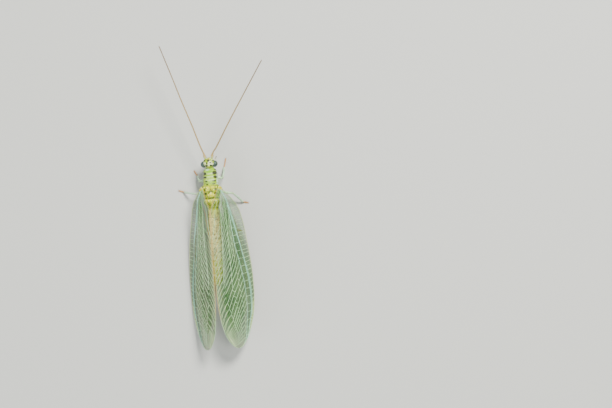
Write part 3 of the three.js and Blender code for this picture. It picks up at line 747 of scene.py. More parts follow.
def thorax_colour(r, tone, x, y, up):
    """Sulphur yellow-green with golden and olive fields, painted shade in the grooves and hollows between the plates
    and round the wing roots, cream plates and netted flanks.
    """
    out = abs(x)
    from_root, behind_root = out - 0.78, y + 0.18
    root = r.maths("SQRT", from_root * from_root + behind_root * behind_root * 0.7)
    plates = r.most(
        r.ease(abs(x + 0.04) / 0.38 + abs(y - 0.31) / 0.21, 1.1, 0.8),
        r.blot(out, y, (0.2, -0.3), (0.15, 0.1), 0.6) * 0.9,
        r.blot(out, y, (0.5, -0.3), (0.07, 0.06), 0.6),
        r.blot(out, y, (0.27, -0.1), (0.08, 0.07), 0.7) * 0.8,
        r.line(root - 0.14, 0.05), r.blot(out, y, (0.78, -0.36), (0.1, 0.08), 0.4),
        r.line(out - 0.58 + 0.5 * y, 0.05) * r.ease(abs(y - 0.57), 0.26, 0.18),
        r.blot(abs(x + 0.1), y, (0.27, 0.77), (0.09, 0.06), 0.5),
        r.line(x + 0.05, 0.055) * r.ease(abs(y - 0.98), 0.36, 0.28),
        r.line(out - 0.39, 0.055) * r.ease(abs(y - 1.02), 0.32, 0.24),
        r.line(y - 0.7, 0.055) * r.ease(out, 0.62, 0.5))
    golden = r.most(r.blot(out, y, (0.5, 0.0), (0.12, 0.12), 0.5), r.ease(root, 0.12, 0.06),
                    r.blot(x, y, (-0.03, -0.1), (0.09, 0.12), 0.5))
    fields = r.blots(out, y, (((0.21, 1.02), (0.12, 0.22)), ((0.54, 1.0), (0.1, 0.22))), 0.4)
    # Painted shade: dark lines and patches in the grooves and hollows between the plates and round the wing roots.
    groove_shade = r.most(
        r.line(out - 0.45 * (y + 0.15), 0.065) * r.ease(abs(y - 0.03), 0.26, 0.16),
        r.line(y - 0.06, 0.06) * r.ease(out, 0.32, 0.2),
        r.line(y - 0.58, 0.07), r.line(y - 1.36, 0.06),
        r.blot(out, y, (0.42, 0.2), (0.13, 0.1), 0.4), r.blot(out, y, (0.43, -0.12), (0.07, 0.12), 0.5),
        r.line(root - 0.21, 0.035))
    edges, flank = r.cells(1.7, "DISTANCE_TO_EDGE"), r.ease(up, 2.35, 2.1)
    return r.layers(
        r.mottled(r.noise(6.5, 2.0), tone.sulphur, (0.24, 0.34, 0.004), 0.44, 0.58),
        (golden * 0.85, (0.58, 0.46, 0.003)),
        (fields * 0.9, (0.23, 0.26, 0.001)),
        # Painted shade in the grooves.
        (groove_shade, (0.045, 0.08, 0.001)),
        (plates, r.mottled(r.noise(9.0, 1.0), (0.8, 0.79, 0.17), (0.93, 0.9, 0.6), 0.5, 0.62)),
        (flank * r.ease(edges, 0.06, 0.02) * 0.7, (0.3, 0.36, 0.02)),
        (flank * r.ease(edges, 0.1, 0.25) * 0.5, (0.7, 0.78, 0.36)))


def abdomen_colour(r, tone, out, back, up):
    """Speckled cream that turns yellow-green with pale chevrons, over a straw side line and a green belly."""
    speck = r.most(r.ease(r.noise(4.6, 3.0), 0.5, 0.6), r.ease(r.noise(11.0, 3.0), 0.52, 0.62) * 0.8)
    share = (back - ABDOMEN_START) * (ABDOMEN_SEGMENTS / (ABDOMEN_END - ABDOMEN_START))
    joint = r.maths("FRACT", share + out * 0.9)
    chevron = r.most(r.ease(joint, 0.72, 0.95), r.ease(joint, 0.16, 0.02))
    return r.layers(
        tone.cream,
        (r.ease(back, 2.3, 1.7) * 0.5, (0.46, 0.58, 0.14)),
        (speck * 0.75, (0.17, 0.17, 0.11)),
        (r.ease(back, 4.9, 6.0), r.mix(chevron, (0.38, 0.46, 0.05), (0.8, 0.83, 0.45))),
        (r.line(up - 1.64, 0.14) * r.ease(back, 2.4, 3.6) * 0.8, (0.78, 0.76, 0.24)),
        (r.ease(up, 1.5, 1.35) * 0.6, (0.6, 0.7, 0.36)))


def head_colour(r, tone, x, y, back, up):
    """Whitish over olive, greener below, with yellow and dark marks above and dark lines down the face."""
    out, high, face = abs(x), r.ease(up, 2.15, 2.35), r.ease(back, -2.4, -2.5)
    aside, above = out - 0.29, up - 2.36
    around = r.maths("SQRT", aside * aside + above * above)
    dark = r.most(
        r.blots(x, y, HEAD_MARKS, 0.4) * high,
        r.blot(out, up, (0.34, 1.78), (0.08, 0.2), 0.4),
        r.blot(out, up, (0.19, 1.6), (0.05, 0.1), 0.4),
        r.line(around - 0.16, 0.045) * r.ease(up, 2.36, 2.26) * face)
    return r.layers(
        r.mottled(r.noise(5.0, 1.0), (0.34, 0.48, 0.05), (0.82, 0.87, 0.6), 0.46, 0.56),
        (r.ease(up, 2.1, 1.8) * 0.5, (0.6, 0.68, 0.26)),
        (r.blots(x, y, HEAD_YELLOWS, 0.5) * high * 0.9, (0.62, 0.54, 0.02)),
        (face * r.line(up - 1.84, 0.035) * r.ease(out, 0.3, 0.2) * 0.7, (0.3, 0.2, 0.05)),
        (face * r.ease(up, 2.15, 1.95) * 0.5, (0.64, 0.66, 0.16)),
        (dark * 0.95, tone.mark))


def cuticle():
    """One skin for the whole body: pronotum, thorax and abdomen run into each other along the back, dark marks
    lie over them, and the head is told apart by its attribute."""
    tone, r = colours(), Recipe("lacewing_cuticle")
    across, back, up = r.place()
    x = across + 0.12 * (r.noise(6.0, 2.0) - 0.5)
    y = back + 0.12 * (r.noise(5.0, 2.0, (1.0, 1.3, 1.1)) - 0.5)
    colour = r.layers(
        pronotum_colour(r, tone, x, y),
        (r.ease(back, -0.58, -0.42), thorax_colour(r, tone, x, y, up)),
        (r.ease(back, 1.25, 1.6), abdomen_colour(r, tone, abs(x), back, up)),
        (r.blots(x, y, BACK_MARKS, 0.4) * r.ease(up, 1.75, 2.0) * 0.95, tone.mark),
        (r.attribute("head"), head_colour(r, tone, x, y, back, up)))
    colour = r.node("ShaderNodeHueSaturation", Saturation=tone.richness, Value=tone.depth, Color=colour).outputs[0]
    grain = r.noise(26.0, 3.0)
    height = grain * 0.4 + r.cells(34.0) * 0.6
    return r.finish(Base_Color=colour, Roughness=0.4 + 0.12 * grain, Normal=r.bump(height, 0.35, 0.012),
                    Subsurface_Weight=0.12, Subsurface_Radius=(0.0006, 0.0006, 0.0003), Subsurface_Scale=0.3,
                    IOR=1.45)


def eye_glaze():
    """Dark grey-green facets with golden patches and a painted bluish sheen on the upper side, darkest round each
    facet, under gloss.
    """
    r = Recipe("lacewing_eye")
    up, edge = r.place()[2], r.attribute("edge")
    colour = r.layers(
        r.mottled(r.noise(7.0, 1.0, (1.0, 1.0, 2.0)), colours().eye, (0.1, 0.13, 0.03)),
        # Painted sheen: a bluish reflection laid on the upper side of each eye.
        (r.ease(up, 2.3, 2.5) * 0.5, (0.05, 0.12, 0.15)),
        (r.ease(edge, 0.45, 0.9) * 0.7, (0.015, 0.025, 0.015)))
    return r.finish(Base_Color=colour, Metallic=0.4, Roughness=0.18 + 0.2 * edge, Coat_Weight=0.6,
                    Coat_Roughness=0.08)


def feeler_skin():
    """Straw at the base, browner towards the tip, with a dark ring at each joint."""
    r = Recipe("lacewing_feeler")
    along, grain = r.attribute("along"), r.noise(60.0, 2.0)
    colour = r.layers(
        r.mix(r.ease(along, 0.0, 0.03), (0.6, 0.64, 0.3), colours().straw),
        (r.ease(along, 0.35, 1.0), (0.2, 0.13, 0.06)),
        (r.attribute("ring") * 0.6, (0.12, 0.08, 0.035)))
    return r.finish(Base_Color=colour, Roughness=0.5 + 0.1 * grain, Normal=r.bump(grain, 0.3, 0.006))


def leg_skin():
    """Pale green shins and thighs with faint darker joints, and tan feet with brown claws."""
    r = Recipe("lacewing_leg")
    along, grain = r.attribute("along"), r.noise(45.0, 3.0)
    colour = r.layers(
        r.mottled(r.noise(8.0), (0.38, 0.62, 0.3), (0.56, 0.78, 0.52)),
        (r.ease(along, 0.44, 0.6) * 0.5, (0.52, 0.78, 0.56)),
        (r.ease(along, 0.79, 0.84), (0.62, 0.28, 0.08)),
        (r.attribute("joint") * 0.5, (0.34, 0.26, 0.1)),
        (r.ease(along, 0.985, 1.0), (0.08, 0.045, 0.02)))
    return r.finish(Base_Color=colour, Roughness=0.42 + 0.12 * grain, Normal=r.bump(grain, 0.35, 0.008))


def film():
    """Clear wing film with a sage tint, clearest in the front field and over the body, and milky at the tip and in
    a pale patch of the front margin just before it."""
    tone, r = colours(), Recipe("lacewing_wing_film")
    along, share = r.attribute("along"), r.attribute("share")
    cloud = r.noise(1.1, 2.0, (1.0, 0.4, 1.0))
    stigma = r.ease(share, 0.075, 0.05) * r.ease(along, 0.68, 0.74) * r.ease(along, 0.93, 0.86)
    tip = r.ease(along, 0.9, 1.0)
    colour = r.layers(
        r.mottled(cloud, tone.film, tone.film_light),
        (stigma, (0.42, 0.56, 0.2)),
        (tip * 0.35, (0.6, 0.66, 0.42)))
    front = r.ease(share + 0.35 * along, 0.42, 0.32) * r.ease(along, 0.5, 0.2)
    over_body = r.ease(share, 0.55, 0.8) * r.ease(along, 0.72, 0.52)
    strength = (1 - 0.3 * front - 0.88 * over_body + 0.15 * tip + 0.4 * stigma) * r.ease(along, -0.03, 0.07)
    alpha = sizes().film_opacity * strength * (0.8 + 0.4 * cloud)
    wrinkle = r.noise(9.0, 3.0, (1.0, 0.5, 1.0))
    return r.finish(Base_Color=colour, Roughness=0.2, Alpha=alpha, Normal=r.bump(wrinkle, 0.25, 0.03),
                    IOR=1.5, Thin_Film_Thickness=340.0, Thin_Film_IOR=1.4)


def vein_skin():
    """Pale green veins, deeper green near the wing's root, the front pair blue-green, and straw-brown along the
    margins."""
    colour_of, r = colours(), Recipe("lacewing_wing_vein")
    tone, grain = r.attribute("tone"), r.noise(20.0, 2.0)
    colour = r.layers(
        r.mottled(r.noise(3.0), colour_of.vein, colour_of.vein_light),
        (r.ease(r.attribute("along"), 0.3, 0.05) * 0.75, (0.16, 0.44, 0.08)),
        (r.ease(tone, 0.0, -1.0), colour_of.front_vein),
        (r.ease(tone, 0.0, 1.0), colour_of.hind_margin))
    return r.finish(Base_Color=colour, Roughness=0.38 + 0.1 * grain, Normal=r.bump(grain, 0.2, 0.006))


def mouth_skin():
    """Pale yellowish mouthparts, brown towards the tips of jaws and palps."""
    r = Recipe("lacewing_mouthparts")
    colour = r.mottled(r.noise(9.0), (0.62, 0.68, 0.4), (0.7, 0.7, 0.45))
    colour = r.mix(r.ease(r.attribute("along"), 0.72, 0.99), colour, (0.1, 0.06, 0.03))
    return r.finish(Base_Color=colour, Roughness=0.4, Normal=r.bump(r.noise(40.0), 0.3, 0.008))


def hair_skin(name, one, other):
    """Fine hairs whose colour drifts a little from one to the other over the body."""
    r = Recipe(name)
    return r.finish(Base_Color=r.mottled(r.noise(4.0), one, other, 0.3, 0.7), Roughness=0.5)


def floor_paint():
    """Plain pale floor with the faintest mottle."""
    r = Recipe("studio_floor")
    colour = r.mix(r.noise(0.02, 1.0), colours().floor, [0.97 * part for part in colours().floor])
    return r.finish(Base_Color=colour, Roughness=0.75)


class LACEWING_OT_body(bpy.types.Operator):
    """One skin over head, neck, thorax and abdomen"""
    bl_idname = "lacewing.body"
    bl_label = "Body"

    def execute(self, context):
        """Rings of body points, and levels of head points that crowd at mouth and crown like a cosine's steps."""
        body, angle = Shape(), turns(BODY_AROUND)
        back = body_rows(sizes().body_rows)[:, None]
        body.add(body_point(back, angle), ring_faces(len(back), BODY_AROUND), head=0.0)
        low, high = HEAD_STATIONS[0][0], HEAD_STATIONS[0][-1]
        share = np.linspace(0, np.pi, HEAD_LEVELS)
        level = (low + (high - low) * (1 - np.cos(share)) / 2)[:, None]
        body.add(head_point(level, angle), ring_faces(HEAD_LEVELS, BODY_AROUND), head=1.0)
        body.build("body_skin", "mint_cuticle", cuticle(),
                   ("head", "prothorax", "mesothorax", "metathorax", "abdomen"))
        return {"FINISHED"}


def on_ball(tilt, turn):
    """Points of a ball of radius one: cos tilt across, and sin tilt times the cos and sin of turn."""
    return joined(np.cos(tilt), np.sin(tilt) * np.cos(turn), np.sin(tilt) * np.sin(turn))


class LACEWING_OT_eyes(bpy.types.Operator):
    """Two compound eyes of many small domes"""
    bl_idname = "lacewing.eyes"
    bl_label = "Eyes"

    def execute(self, context):
        """Each facet stands over the nearest point of an even spiral lattice on an oval ball: a point's height falls
        with the square of its distance from that point."""
        k = np.arange(EYE_FACETS * 2) + 0.5
        lattice = on_ball(np.arccos(1 - 2 * k / len(k)), np.pi * (1 + 5 ** 0.5) * k)
        lattice = lattice[lattice[:, 0] > -0.3]
        polar = np.linspace(0.002, 0.62 * np.pi, EYE_ROWS)[:, None]
        ball = on_ball(polar, turns(EYE_AROUND)).reshape(-1, 3)
        nearest = np.concatenate([np.sqrt(np.maximum(0, 2 - 2 * (part @ lattice.T).max(axis=1)))
                                  for part in np.array_split(ball, 24)])
        facet = np.sqrt(4 * np.pi / (EYE_FACETS * 2)) * 0.62
        edge = np.clip(nearest / facet, 0, 1)
        swell = (1 - 0.035 * edge ** 2)[:, None]
        points = np.array(EYE_CENTRE) + ball * swell * EYE_AXES
        material = eye_glaze()
        for name, side in SIDES.items():
            eye = Shape()
            eye.add(mirrored(points, side), ring_faces(EYE_ROWS, EYE_AROUND), edge=edge)
            eye.build(f"compound_eye_{name}", "compound_eye", material, (f"eye_{name}",))
        return {"FINISHED"}


class LACEWING_OT_mouthparts(bpy.types.Operator):
    """Lip, jaws and jointed palps below the face"""
    bl_idname = "lacewing.mouthparts"
    bl_label = "Mouthparts"

    def execute(self, context):
        """The lip is a tapered level loft; each palp is a tube along a smooth route whose radius swells in every
        joint: sides of a sine wave raised to a small power."""
        mouth, angle = Shape(), turns(LIP["around"])
        level = np.linspace(LIP["top"], LIP["top"] - LIP["drop"], LIP["rows"])[:, None]
        share = (LIP["top"] - level) / LIP["drop"]
        width = LIP["width"] * np.sqrt(np.maximum(0.02, 1 - share ** 2.4))
        length = LIP["length"] * np.sqrt(np.maximum(0.02, 1 - share ** 2))
        mouth.add(joined(width * np.cos(angle), LIP["back"] + length * np.sin(angle), level),
                  ring_faces(LIP["rows"], LIP["around"]), along=0.6)
        for side in SIDES.values():
            add_tube(mouth, route(mirrored(JAW, side), 24), np.linspace(0.07, 0.015, 24), (0, 1, 0.2), 12,
                     along=np.linspace(0.6, 0.95, 24))
            for points, joints, radius in PALPS:
                t = np.linspace(0, 1, 60)
                swell = 0.7 + 0.3 * np.abs(np.sin(np.pi * joints * t)) ** 0.4
                taper = np.minimum(1, (1.02 - t) / 0.12) ** 0.5
                add_tube(mouth, route(mirrored(points, side), 60), radius * swell * taper, (0.3, 1, 0.1), 12,
                         along=0.7 + 0.29 * t)
        mouth.build("mouthparts_fine", "mint_cuticle", mouth_skin(), ("mouthparts",))
        return {"FINISHED"}


class LACEWING_OT_feelers(bpy.types.Operator):
    """Two long ringed feelers with their fine hairs"""
    bl_idname = "lacewing.feelers"
    bl_label = "Feelers"

    def execute(self, context):
        """A tube along a smooth route. Its radius is that of the scape, then the pedicel, then a slow taper with a
        shallow waist at each ring: one minus a sixth of a hill about the joint."""
        material = feeler_skin()
        hair = hair_skin("feeler_hair", (0.16, 0.12, 0.07), (0.28, 0.22, 0.12))
        for name, points in FEELER_PATHS.items():
            path = route(points, FEELER_RINGS * 5)
            t = np.linspace(0, 1, len(path))
            scape = 0.115 * np.sqrt(np.clip(1 - ((t - 0.018) / 0.019) ** 2, 0, 1))
            pedicel = 0.075 * np.sqrt(np.clip(1 - ((t - 0.044) / 0.012) ** 2, 0, 1))
            share = t * FEELER_RINGS
            joint = bump(share - np.round(share), 0.16)
            whip = (0.058 - 0.023 * t) * (1 - 0.16 * joint) * np.minimum(1, (1.001 - t) / 0.01) ** 0.5
            radius = np.maximum(np.maximum(scape, pedicel), np.maximum(whip, 0.004))
            feeler = Shape()
            add_tube(feeler, path, radius, UP, 14, along=t, ring=joint * (t > 0.06))
            feeler.build(f"feeler_{name}", "straw_feeler", material, (f"antenna_{name}",))
            pick = np.linspace(0.06, 0.995, FEELER_HAIRS)
            spin = rng.uniform(0, 2 * np.pi, FEELER_HAIRS)
            centre, along = followed(path, pick)
            away = spokes(along, UP, spin)
            size = np.interp(pick, t, radius)[:, None]
            coat = Shape()
            add_bristles(coat, centre + away * size * 0.9, away * 0.7 + along,
                         0.05 + 0.03 * rng.random(FEELER_HAIRS), HAIR_RADIUS,
                         np.stack([pick, spin / (2 * np.pi)], axis=-1))
            coat.build(f"feeler_hairs_{name}", "bristle", hair)
        return {"FINISHED"}


def add_foot(leg, ankle, toe):
    """Five short beads along the floor, two claws that are tapered hooks, and a pad between them. The beads' radius
    follows the sides of a sine wave. Returns the foot's route."""
    heel = ankle + (toe - ankle) * 0.3
    heel[2] = toe[2] + HEEL_LIFT
    foot = route([ankle, heel, toe], FOOT_ROWS)
    t = np.linspace(0, 1, FOOT_ROWS)
    beads = np.abs(np.sin(np.pi * (5 * t ** 0.85)))
    add_tube(leg, foot, (0.037 + 0.012 * beads ** 0.5) * rounded(t), np.cross(toe - ankle, UP), 16,
             along=0.81 + 0.17 * t, joint=(1 - beads ** 0.3) * 0.7)
    ahead = unit((toe - ankle) * (1, 1, 0))
    beside = np.cross(ahead, UP)
    for turn in (-1, 1):
        hook = route([toe - 0.02 * ahead, toe + 0.06 * ahead + turn * 0.05 * beside,
                      toe + 0.11 * ahead + turn * 0.06 * beside - (0, 0, 0.03)], 14)
        add_tube(leg, hook, np.linspace(0.016, 0.004, 14), UP, 8, along=0.995, joint=0.0)
    pad = route([toe - 0.02 * ahead, toe + 0.07 * ahead - (0, 0, 0.02)], 10)
    add_tube(leg, pad, np.linspace(0.02, 0.028, 10), UP, 10, along=0.97, joint=0.0)
    return foot


class LACEWING_OT_legs(bpy.types.Operator):
    """Six jointed legs with clawed feet and their fine hairs"""
    bl_idname = "lacewing.legs"
    bl_label = "Legs"

    def execute(self, context):
        """Coxa, thigh and shin are tubes from joint to joint whose radius follows a smooth profile of their own:
        a taper, and sides of a sine. Hairs stand out and forward round thigh, shin and foot."""
        material = leg_skin()
        hair = hair_skin("leg_hair", (0.42, 0.4, 0.26), (0.3, 0.26, 0.16))
        t = np.linspace(0, 1, LEG_ROWS)
        for name, points in LEG_POINTS.items():
            hip, knee, ankle, toe = mirrored(points, SIDES[name.split("_")[1]])
            leg, coat = Shape(), Shape()
            socket = hip + (knee - hip) * 0.16 + np.array([0, 0, -0.1])
            lean = np.cross(knee - hip, UP)
            coxa = route([hip + (0, 0, 0.12), hip, socket], LEG_ROWS)
            girth = (0.15 - 0.05 * t ** 2) * np.sqrt(np.clip((1.002 - t) / 0.16, 0, 1))
            add_tube(leg, coxa, girth, lean, 20, along=0.1 * t, joint=bump(t - 1, 0.06))
            thigh = route([socket, (socket + knee) / 2 + (0, 0, 0.03), knee], LEG_ROWS)
            girth = 0.066 + 0.036 * np.sin(np.pi * np.clip(t * 0.9 + 0.12, 0, 1)) ** 0.8
            add_tube(leg, thigh, girth * rounded(t), lean, 18, along=0.1 + 0.35 * t,
                     joint=bump(t, 0.05) + bump(t - 1, 0.03))
            bend = (knee + ankle) / 2 + 0.03 * unit(knee - hip) * (1, 1, 0)
            shin = route([knee, bend, ankle], LEG_ROWS)
            girth = 0.064 + 0.013 * np.sin(np.pi * t) + 0.006 * bump(t - 1, 0.05)
            add_tube(leg, shin, girth * rounded(t), lean, 18, along=0.46 + 0.34 * t,
                     joint=bump(t, 0.03) + bump(t - 1, 0.03))
            foot = add_foot(leg, ankle, toe)
            leg.build(f"{name}_fine", "leg_cuticle", material, (name,))
            for path, radius, count, start in (
                (thigh, 0.07, 160, 0.0), (shin, 0.052, 260, 0.33), (foot, 0.04, 150, 0.66),
            ):
                pick = rng.uniform(0.04, 0.98, count)
                spin = rng.uniform(0, 2 * np.pi, count)
                centre, along = followed(path, pick)
                away = spokes(along, lean, spin)
                roots, ways = centre + away * radius * 0.85, away * 0.8 + along
                add_bristles(coat, roots, ways, 0.07 + 0.05 * rng.random(count), HAIR_RADIUS,
                             np.stack([start + 0.33 * pick, spin / (2 * np.pi)], axis=-1),
                             above_floor(roots, ways, 0.12, 0.008))
            coat.build(f"{name}_hairs", "bristle", hair)
        return {"FINISHED"}


def wing_read(stations, along):
    """Where a share of a wing's length lies back, and its table's other columns there. They are read over a measure
    that makes the rounded tip a straight run: one minus the square root of what is left of the length."""
    start, end = stations[0][0], stations[0][-1]

    def closing(place):
        return 1 - np.sqrt(np.clip(1 - (place - start) / (end - start), 0, 1))

    back = start + (end - start) * along
    return back, [smooth(closing(back), closing(stations[0]), column) for column in stations[1:]]


def fore_surface(along, share, spread=0.0):
    """A point of the forewing: along is the share of its length, share that of its chord from the front margin.
    Out and up run straight between the margins, plus a sine bulge across the chord, a fine ripple, and a hollow
    along the front veins that flares the front field out. Spread moves the front margin's first half outwards."""
    back, (front_out, front_up, hind_out, hind_up) = wing_read(FORE_STATIONS, along)
    front_out = front_out + spread * bump(back - SPREAD_BACK, SPREAD_REACH)
    run, climb = hind_out - front_out, hind_up - front_up
    chord = np.hypot(run, climb) + 1e-6
    relief = WING_BULGE * np.sin(np.pi * share) - FLARE["depth"] * bump(share - FLARE["share"], FLARE["reach"])
    relief = (relief + WING_RIPPLE * np.sin(9 * np.pi * share)) * np.minimum(1, chord / 3)
    return joined(front_out + run * share + climb / chord * relief, back,
                  front_up + climb * share - run / chord * relief)


def facing(surface, along, share):
    """The way a wing surface faces, outwards: across its two directions of travel."""
    step = 0.002
    lengthwise = surface(along + step, share) - surface(along - step, share)
    crosswise = surface(along, share + step) - surface(along, share - step)
    return unit(np.cross(lengthwise, crosswise))


def hind_surface(along, share, spread=0.0):
    """A point of the hindwing: the forewing's surface read between the hindwing's own margins, set in by a depth."""
    back, (front, hind) = wing_read(HIND_STATIONS, along)
    whole = front + (hind - front) * share
    first, last = FORE_STATIONS[0][0], FORE_STATIONS[0][-1]
    on_fore = (back - first) / (last - first)
    depth = HIND_DEPTH * np.clip(0.75 + along, 0, 1)
    above = partial(fore_surface, spread=spread)
    return above(on_fore, whole) - facing(above, on_fore, whole) * np.asarray(depth)[..., None]


def between(start, end, part):
    """The point a part of the way from one place on the wing to another."""
    return tuple(a + part * (b - a) for a, b in zip(start, end))


class Venation:
    """A wing's veins as runs over the (along, share) square, each a row of points, with radius and tone. A tone of
    one is straw-brown, and of minus one is blue-green."""

    def __init__(self, lines, chord, spacing):
        self.lines = {key: np.array(points) for key, points in lines.items()}
        self.chord, self.spacing, self.runs = chord, spacing, []
        self.long_radius, self.cross_radius = sizes().long_vein, sizes().cross_vein
        self.starts = np.arange(*SECTOR_STARTS, spacing)
        spread = np.minimum(1, SECTOR_CROWDING * (1 - self.starts))
        self.inner, self.outer, self.edge = [self.starts + gain * spread for gain in SECTOR_REACHES]
        self.stops = {"media": self.inner[self.inner > MEDIA_STOP][0],
                      "cubitus": self.outer[self.outer > MEDIA_STOP][0]}

    def share(self, line, along):
        points = self.lines[line]
        return smooth(np.asarray(along, float), points[:, 0], points[:, 1])

    def at(self, line, along):
        return float(along), float(self.share(line, along))

    def long_run(self, along, share, weight, tone):
        points = np.stack(np.broadcast_arrays(along, share), axis=-1)
        self.runs.append((points, self.long_radius * weight, tone))

    def run(self, points, radius=1.0, tone=0.0, count=8):
        """One cross vein, finer near the wing's root, and along the hind margin of its front half."""
        fine = 0.68 + 0.32 * np.clip((points[0][0] - 0.15) / 0.25, 0, 1)
        fine *= 0.72 if points[0][0] < 0.58 and points[0][1] > 0.68 else 1
        self.runs.append((route(points, count), radius * fine * self.cross_radius, tone))

    def subcosta(self, along):
        """The vein in front of the radius: a tenth of a millimetre ahead of it, but no nearer the margin than about
        a third of the way back to it."""
        radius = self.share("radius", along)
        return np.maximum(radius - SUBCOSTA_GAP / self.chord(along), 0.35 * radius)

    def long_veins(self):
        """The sector, media, cubitus and anal veins, of which the first three zigzag by a triangle wave where the
        cross veins meet them, the paired front veins, and the margins, pale round the tip."""
        for key, points in self.lines.items():
            along = np.linspace(points[0][0], self.stops.get(key, points[-1][0]), 150)
            wave = 2 * np.abs(2 * ((along / self.spacing) % 1) - 1) - 1
            zigzag = ZIGZAG * wave * (key in ("sector", "media", "cubitus")) * np.clip(along * 8, 0, 1)
            self.long_run(along, self.share(key, along) + zigzag, *VEIN_WEIGHTS.get(key, PLAIN_WEIGHT))
        along = np.linspace(0, 0.8, 100)
        self.long_run(along, self.subcosta(along), 0.85, -1.0)
        along = 1 - np.linspace(1, 0, 150) ** 2
        straw = np.clip((0.86 - along) / 0.12, 0, 1)
        self.long_run(along, 0.0, 1.15, 0.45 * straw)
        self.long_run(along, 1.0, 0.95, straw)

    def front_ladder(self):
        """The rungs of the field along the front margin, before and behind the point where the paired veins part,
        and those between the radius and its sector."""
        for x in np.linspace(0.012, 0.77, 30):
            x = x + rng.normal(0, 0.002)
            top = x + 0.012
            self.run([(x, 0.0), (x + 0.006, 0.5 * self.subcosta(top)), (top, self.subcosta(top))], 1.0, 0.1, 6)
        for x in np.linspace(0.79, 0.94, 9):
            self.run([(x + 0.008, 0.0), self.at("radius", x)], 0.9, 0.0, 4)
        for x in np.linspace(0.15, 0.92, 17):
            self.run([self.at("radius", x), self.at("sector", x + 0.006)], 0.95, -0.2, 5)

    def sectors(self):
        """The slanting veins from the sector to the media, on to the cubitus and to the hind margin, where each
        forks twice. Past the media's end they run on unbroken. Short steps join each to the next, in one row
        between sector and media and, past the media's end, in two more where the long veins would have been."""
        half = self.spacing / 2
        slants, rows = [], []
        for s, inner, outer, edge in zip(self.starts, self.inner, self.outer, self.edge):
            beyond = inner > MEDIA_STOP
            slant = [self.at("sector", s), self.at("media", inner)]
            middle = [self.at("media", inner), self.at("cubitus", outer)]
            if s > self.lines["sector"][0][0]:
                self.run(slant)
                slants.append(slant)
            if beyond:
                self.run(middle)
            elif inner > 0.07:
                self.run([self.at("media", inner - half), self.at("cubitus", outer - half)], count=6)
            if edge < ANAL_END:
                self.run([self.at("cubitus", outer), self.at("anal", outer + 0.03)], 0.9, 0.0, 5)
                continue
            first = self.at("cubitus", outer)
            fork = between(first, (edge, 1.0), 0.12 if beyond else 0.42)
            self.run([first, fork], 0.95, 0.1, 5)
            gap = self.spacing * min(1, 20 * (1 - edge))
            for lag in (0.0, 0.5):
                end = (edge + lag * gap, 1.0)
                split = between(fork, end, 0.62)
                self.run([fork, split, end], 0.9, 0.3, 6)
                self.run([split, (end[0] + 0.25 * gap, 1.0)], 0.8, 0.4, 3)
            if beyond:
                rows.append((slant, middle, [first, fork]))
        for here, after in zip(slants, slants[1:]):
            self.run([between(*here, 0.52), between(*after, 0.38)], 0.9, 0.0, 4)
        for here, after in zip(rows, rows[1:]):
            for k in (1, 2):
                self.run([between(*here[k], 0.14), between(*after[k - 1], 0.9)], 0.9, 0.0, 4)
        for x in (0.05, 0.1, 0.15):
            self.run([self.at("radius", x + 0.01), self.at("media", x)], 0.9, 0.0, 4)


def add_wing(name, surface, lines, spacing, looks):
    """The film is a thin plate on the wing's surface, and the veins are tubes along their runs over it, with hairs
    that stand up or down from the surface and lean along the vein."""
    side = SIDES[name.split("_")[1]]
    along = (1 - np.linspace(1, 0.0, sizes().film_rows) ** 1.6)[:, None]
    share = np.linspace(0, 1, FILM_COLUMNS)[None, :]
    middle = surface(along, share)
    lift = facing(surface, np.clip(along, 0, 0.997), share) * (FILM_THICKNESS / 2)
    sheet = Shape()
    sheet.add(mirrored(np.stack([middle + lift, middle - lift]), side),
              plate_faces(len(along), FILM_COLUMNS), along=along, share=share)
    sheet.build(f"{name}_film", "wing_membrane", looks[0], (name,))

    def chord(x):
        return np.linalg.norm(surface(x, np.float64(1)) - surface(x, np.float64(0)), axis=-1) + 0.2

    veins = Venation(lines, chord, spacing)
    veins.long_veins()
    veins.front_ladder()
    veins.sectors()
    web, coat = Shape(), Shape()
    for run, radius, tone in veins.runs:
        x, y = np.clip(run[:, 0], 0, 0.9995), np.clip(run[:, 1], 0, 1)
        path = mirrored(surface(x, y), side)
        away = mirrored(facing(surface, np.clip(x, 0.003, 0.99), np.clip(y, 0.003, 0.997)), side)
        t = np.linspace(0, 1, len(path))
        taper = radius * (1 - 0.3 * t * (len(path) > 30)) * (0.66 + 0.34 * np.clip(x / 0.2, 0, 1))
        add_tube(web, path, taper, away, 6, tone=tone, along=x)
        length = np.linalg.norm(np.diff(path, axis=0), axis=1).sum()
        count = max(2, int(length / VEIN_HAIR_GAP))
        pick = rng.uniform(0.02, 0.98, count)
        centre, flow = followed(path, pick)
        out = unit(sampled(away, pick)) * np.where(rng.random(count) < 0.6, 1, -1)[:, None]
        ways = out + 0.5 * flow + rng.normal(0, 0.2, (count, 3))
        roots = centre + out * radius * 0.8
        add_bristles(coat, roots, ways, 0.06 + 0.04 * rng.random(count), HAIR_RADIUS,
                     sampled(np.stack([x, y], axis=-1), pick), above_floor(roots, ways, 0.1, 0.01))
    web.build(f"{name}_veins", "wing_vein", looks[1])
    coat.build(f"{name}_hairs", "bristle", looks[2])


class LACEWING_OT_wings(bpy.types.Operator):
    """Four wings of clear film on a net of veins"""
    bl_idname = "lacewing.wings"
    bl_label = "Wings"

    def execute(self, context):
        looks = film(), vein_skin(), hair_skin("wing_hair", (0.36, 0.4, 0.26), (0.24, 0.24, 0.16))
        for side, spread in WING_SPREADS.items():
            fore, hind = partial(fore_surface, spread=spread), partial(hind_surface, spread=spread)
            add_wing(f"forewing_{side}", fore, FORE_VEINS, FORE_SPACING, looks)
            add_wing(f"hindwing_{side}", hind, HIND_VEINS, HIND_SPACING, looks)
        return {"FINISHED"}


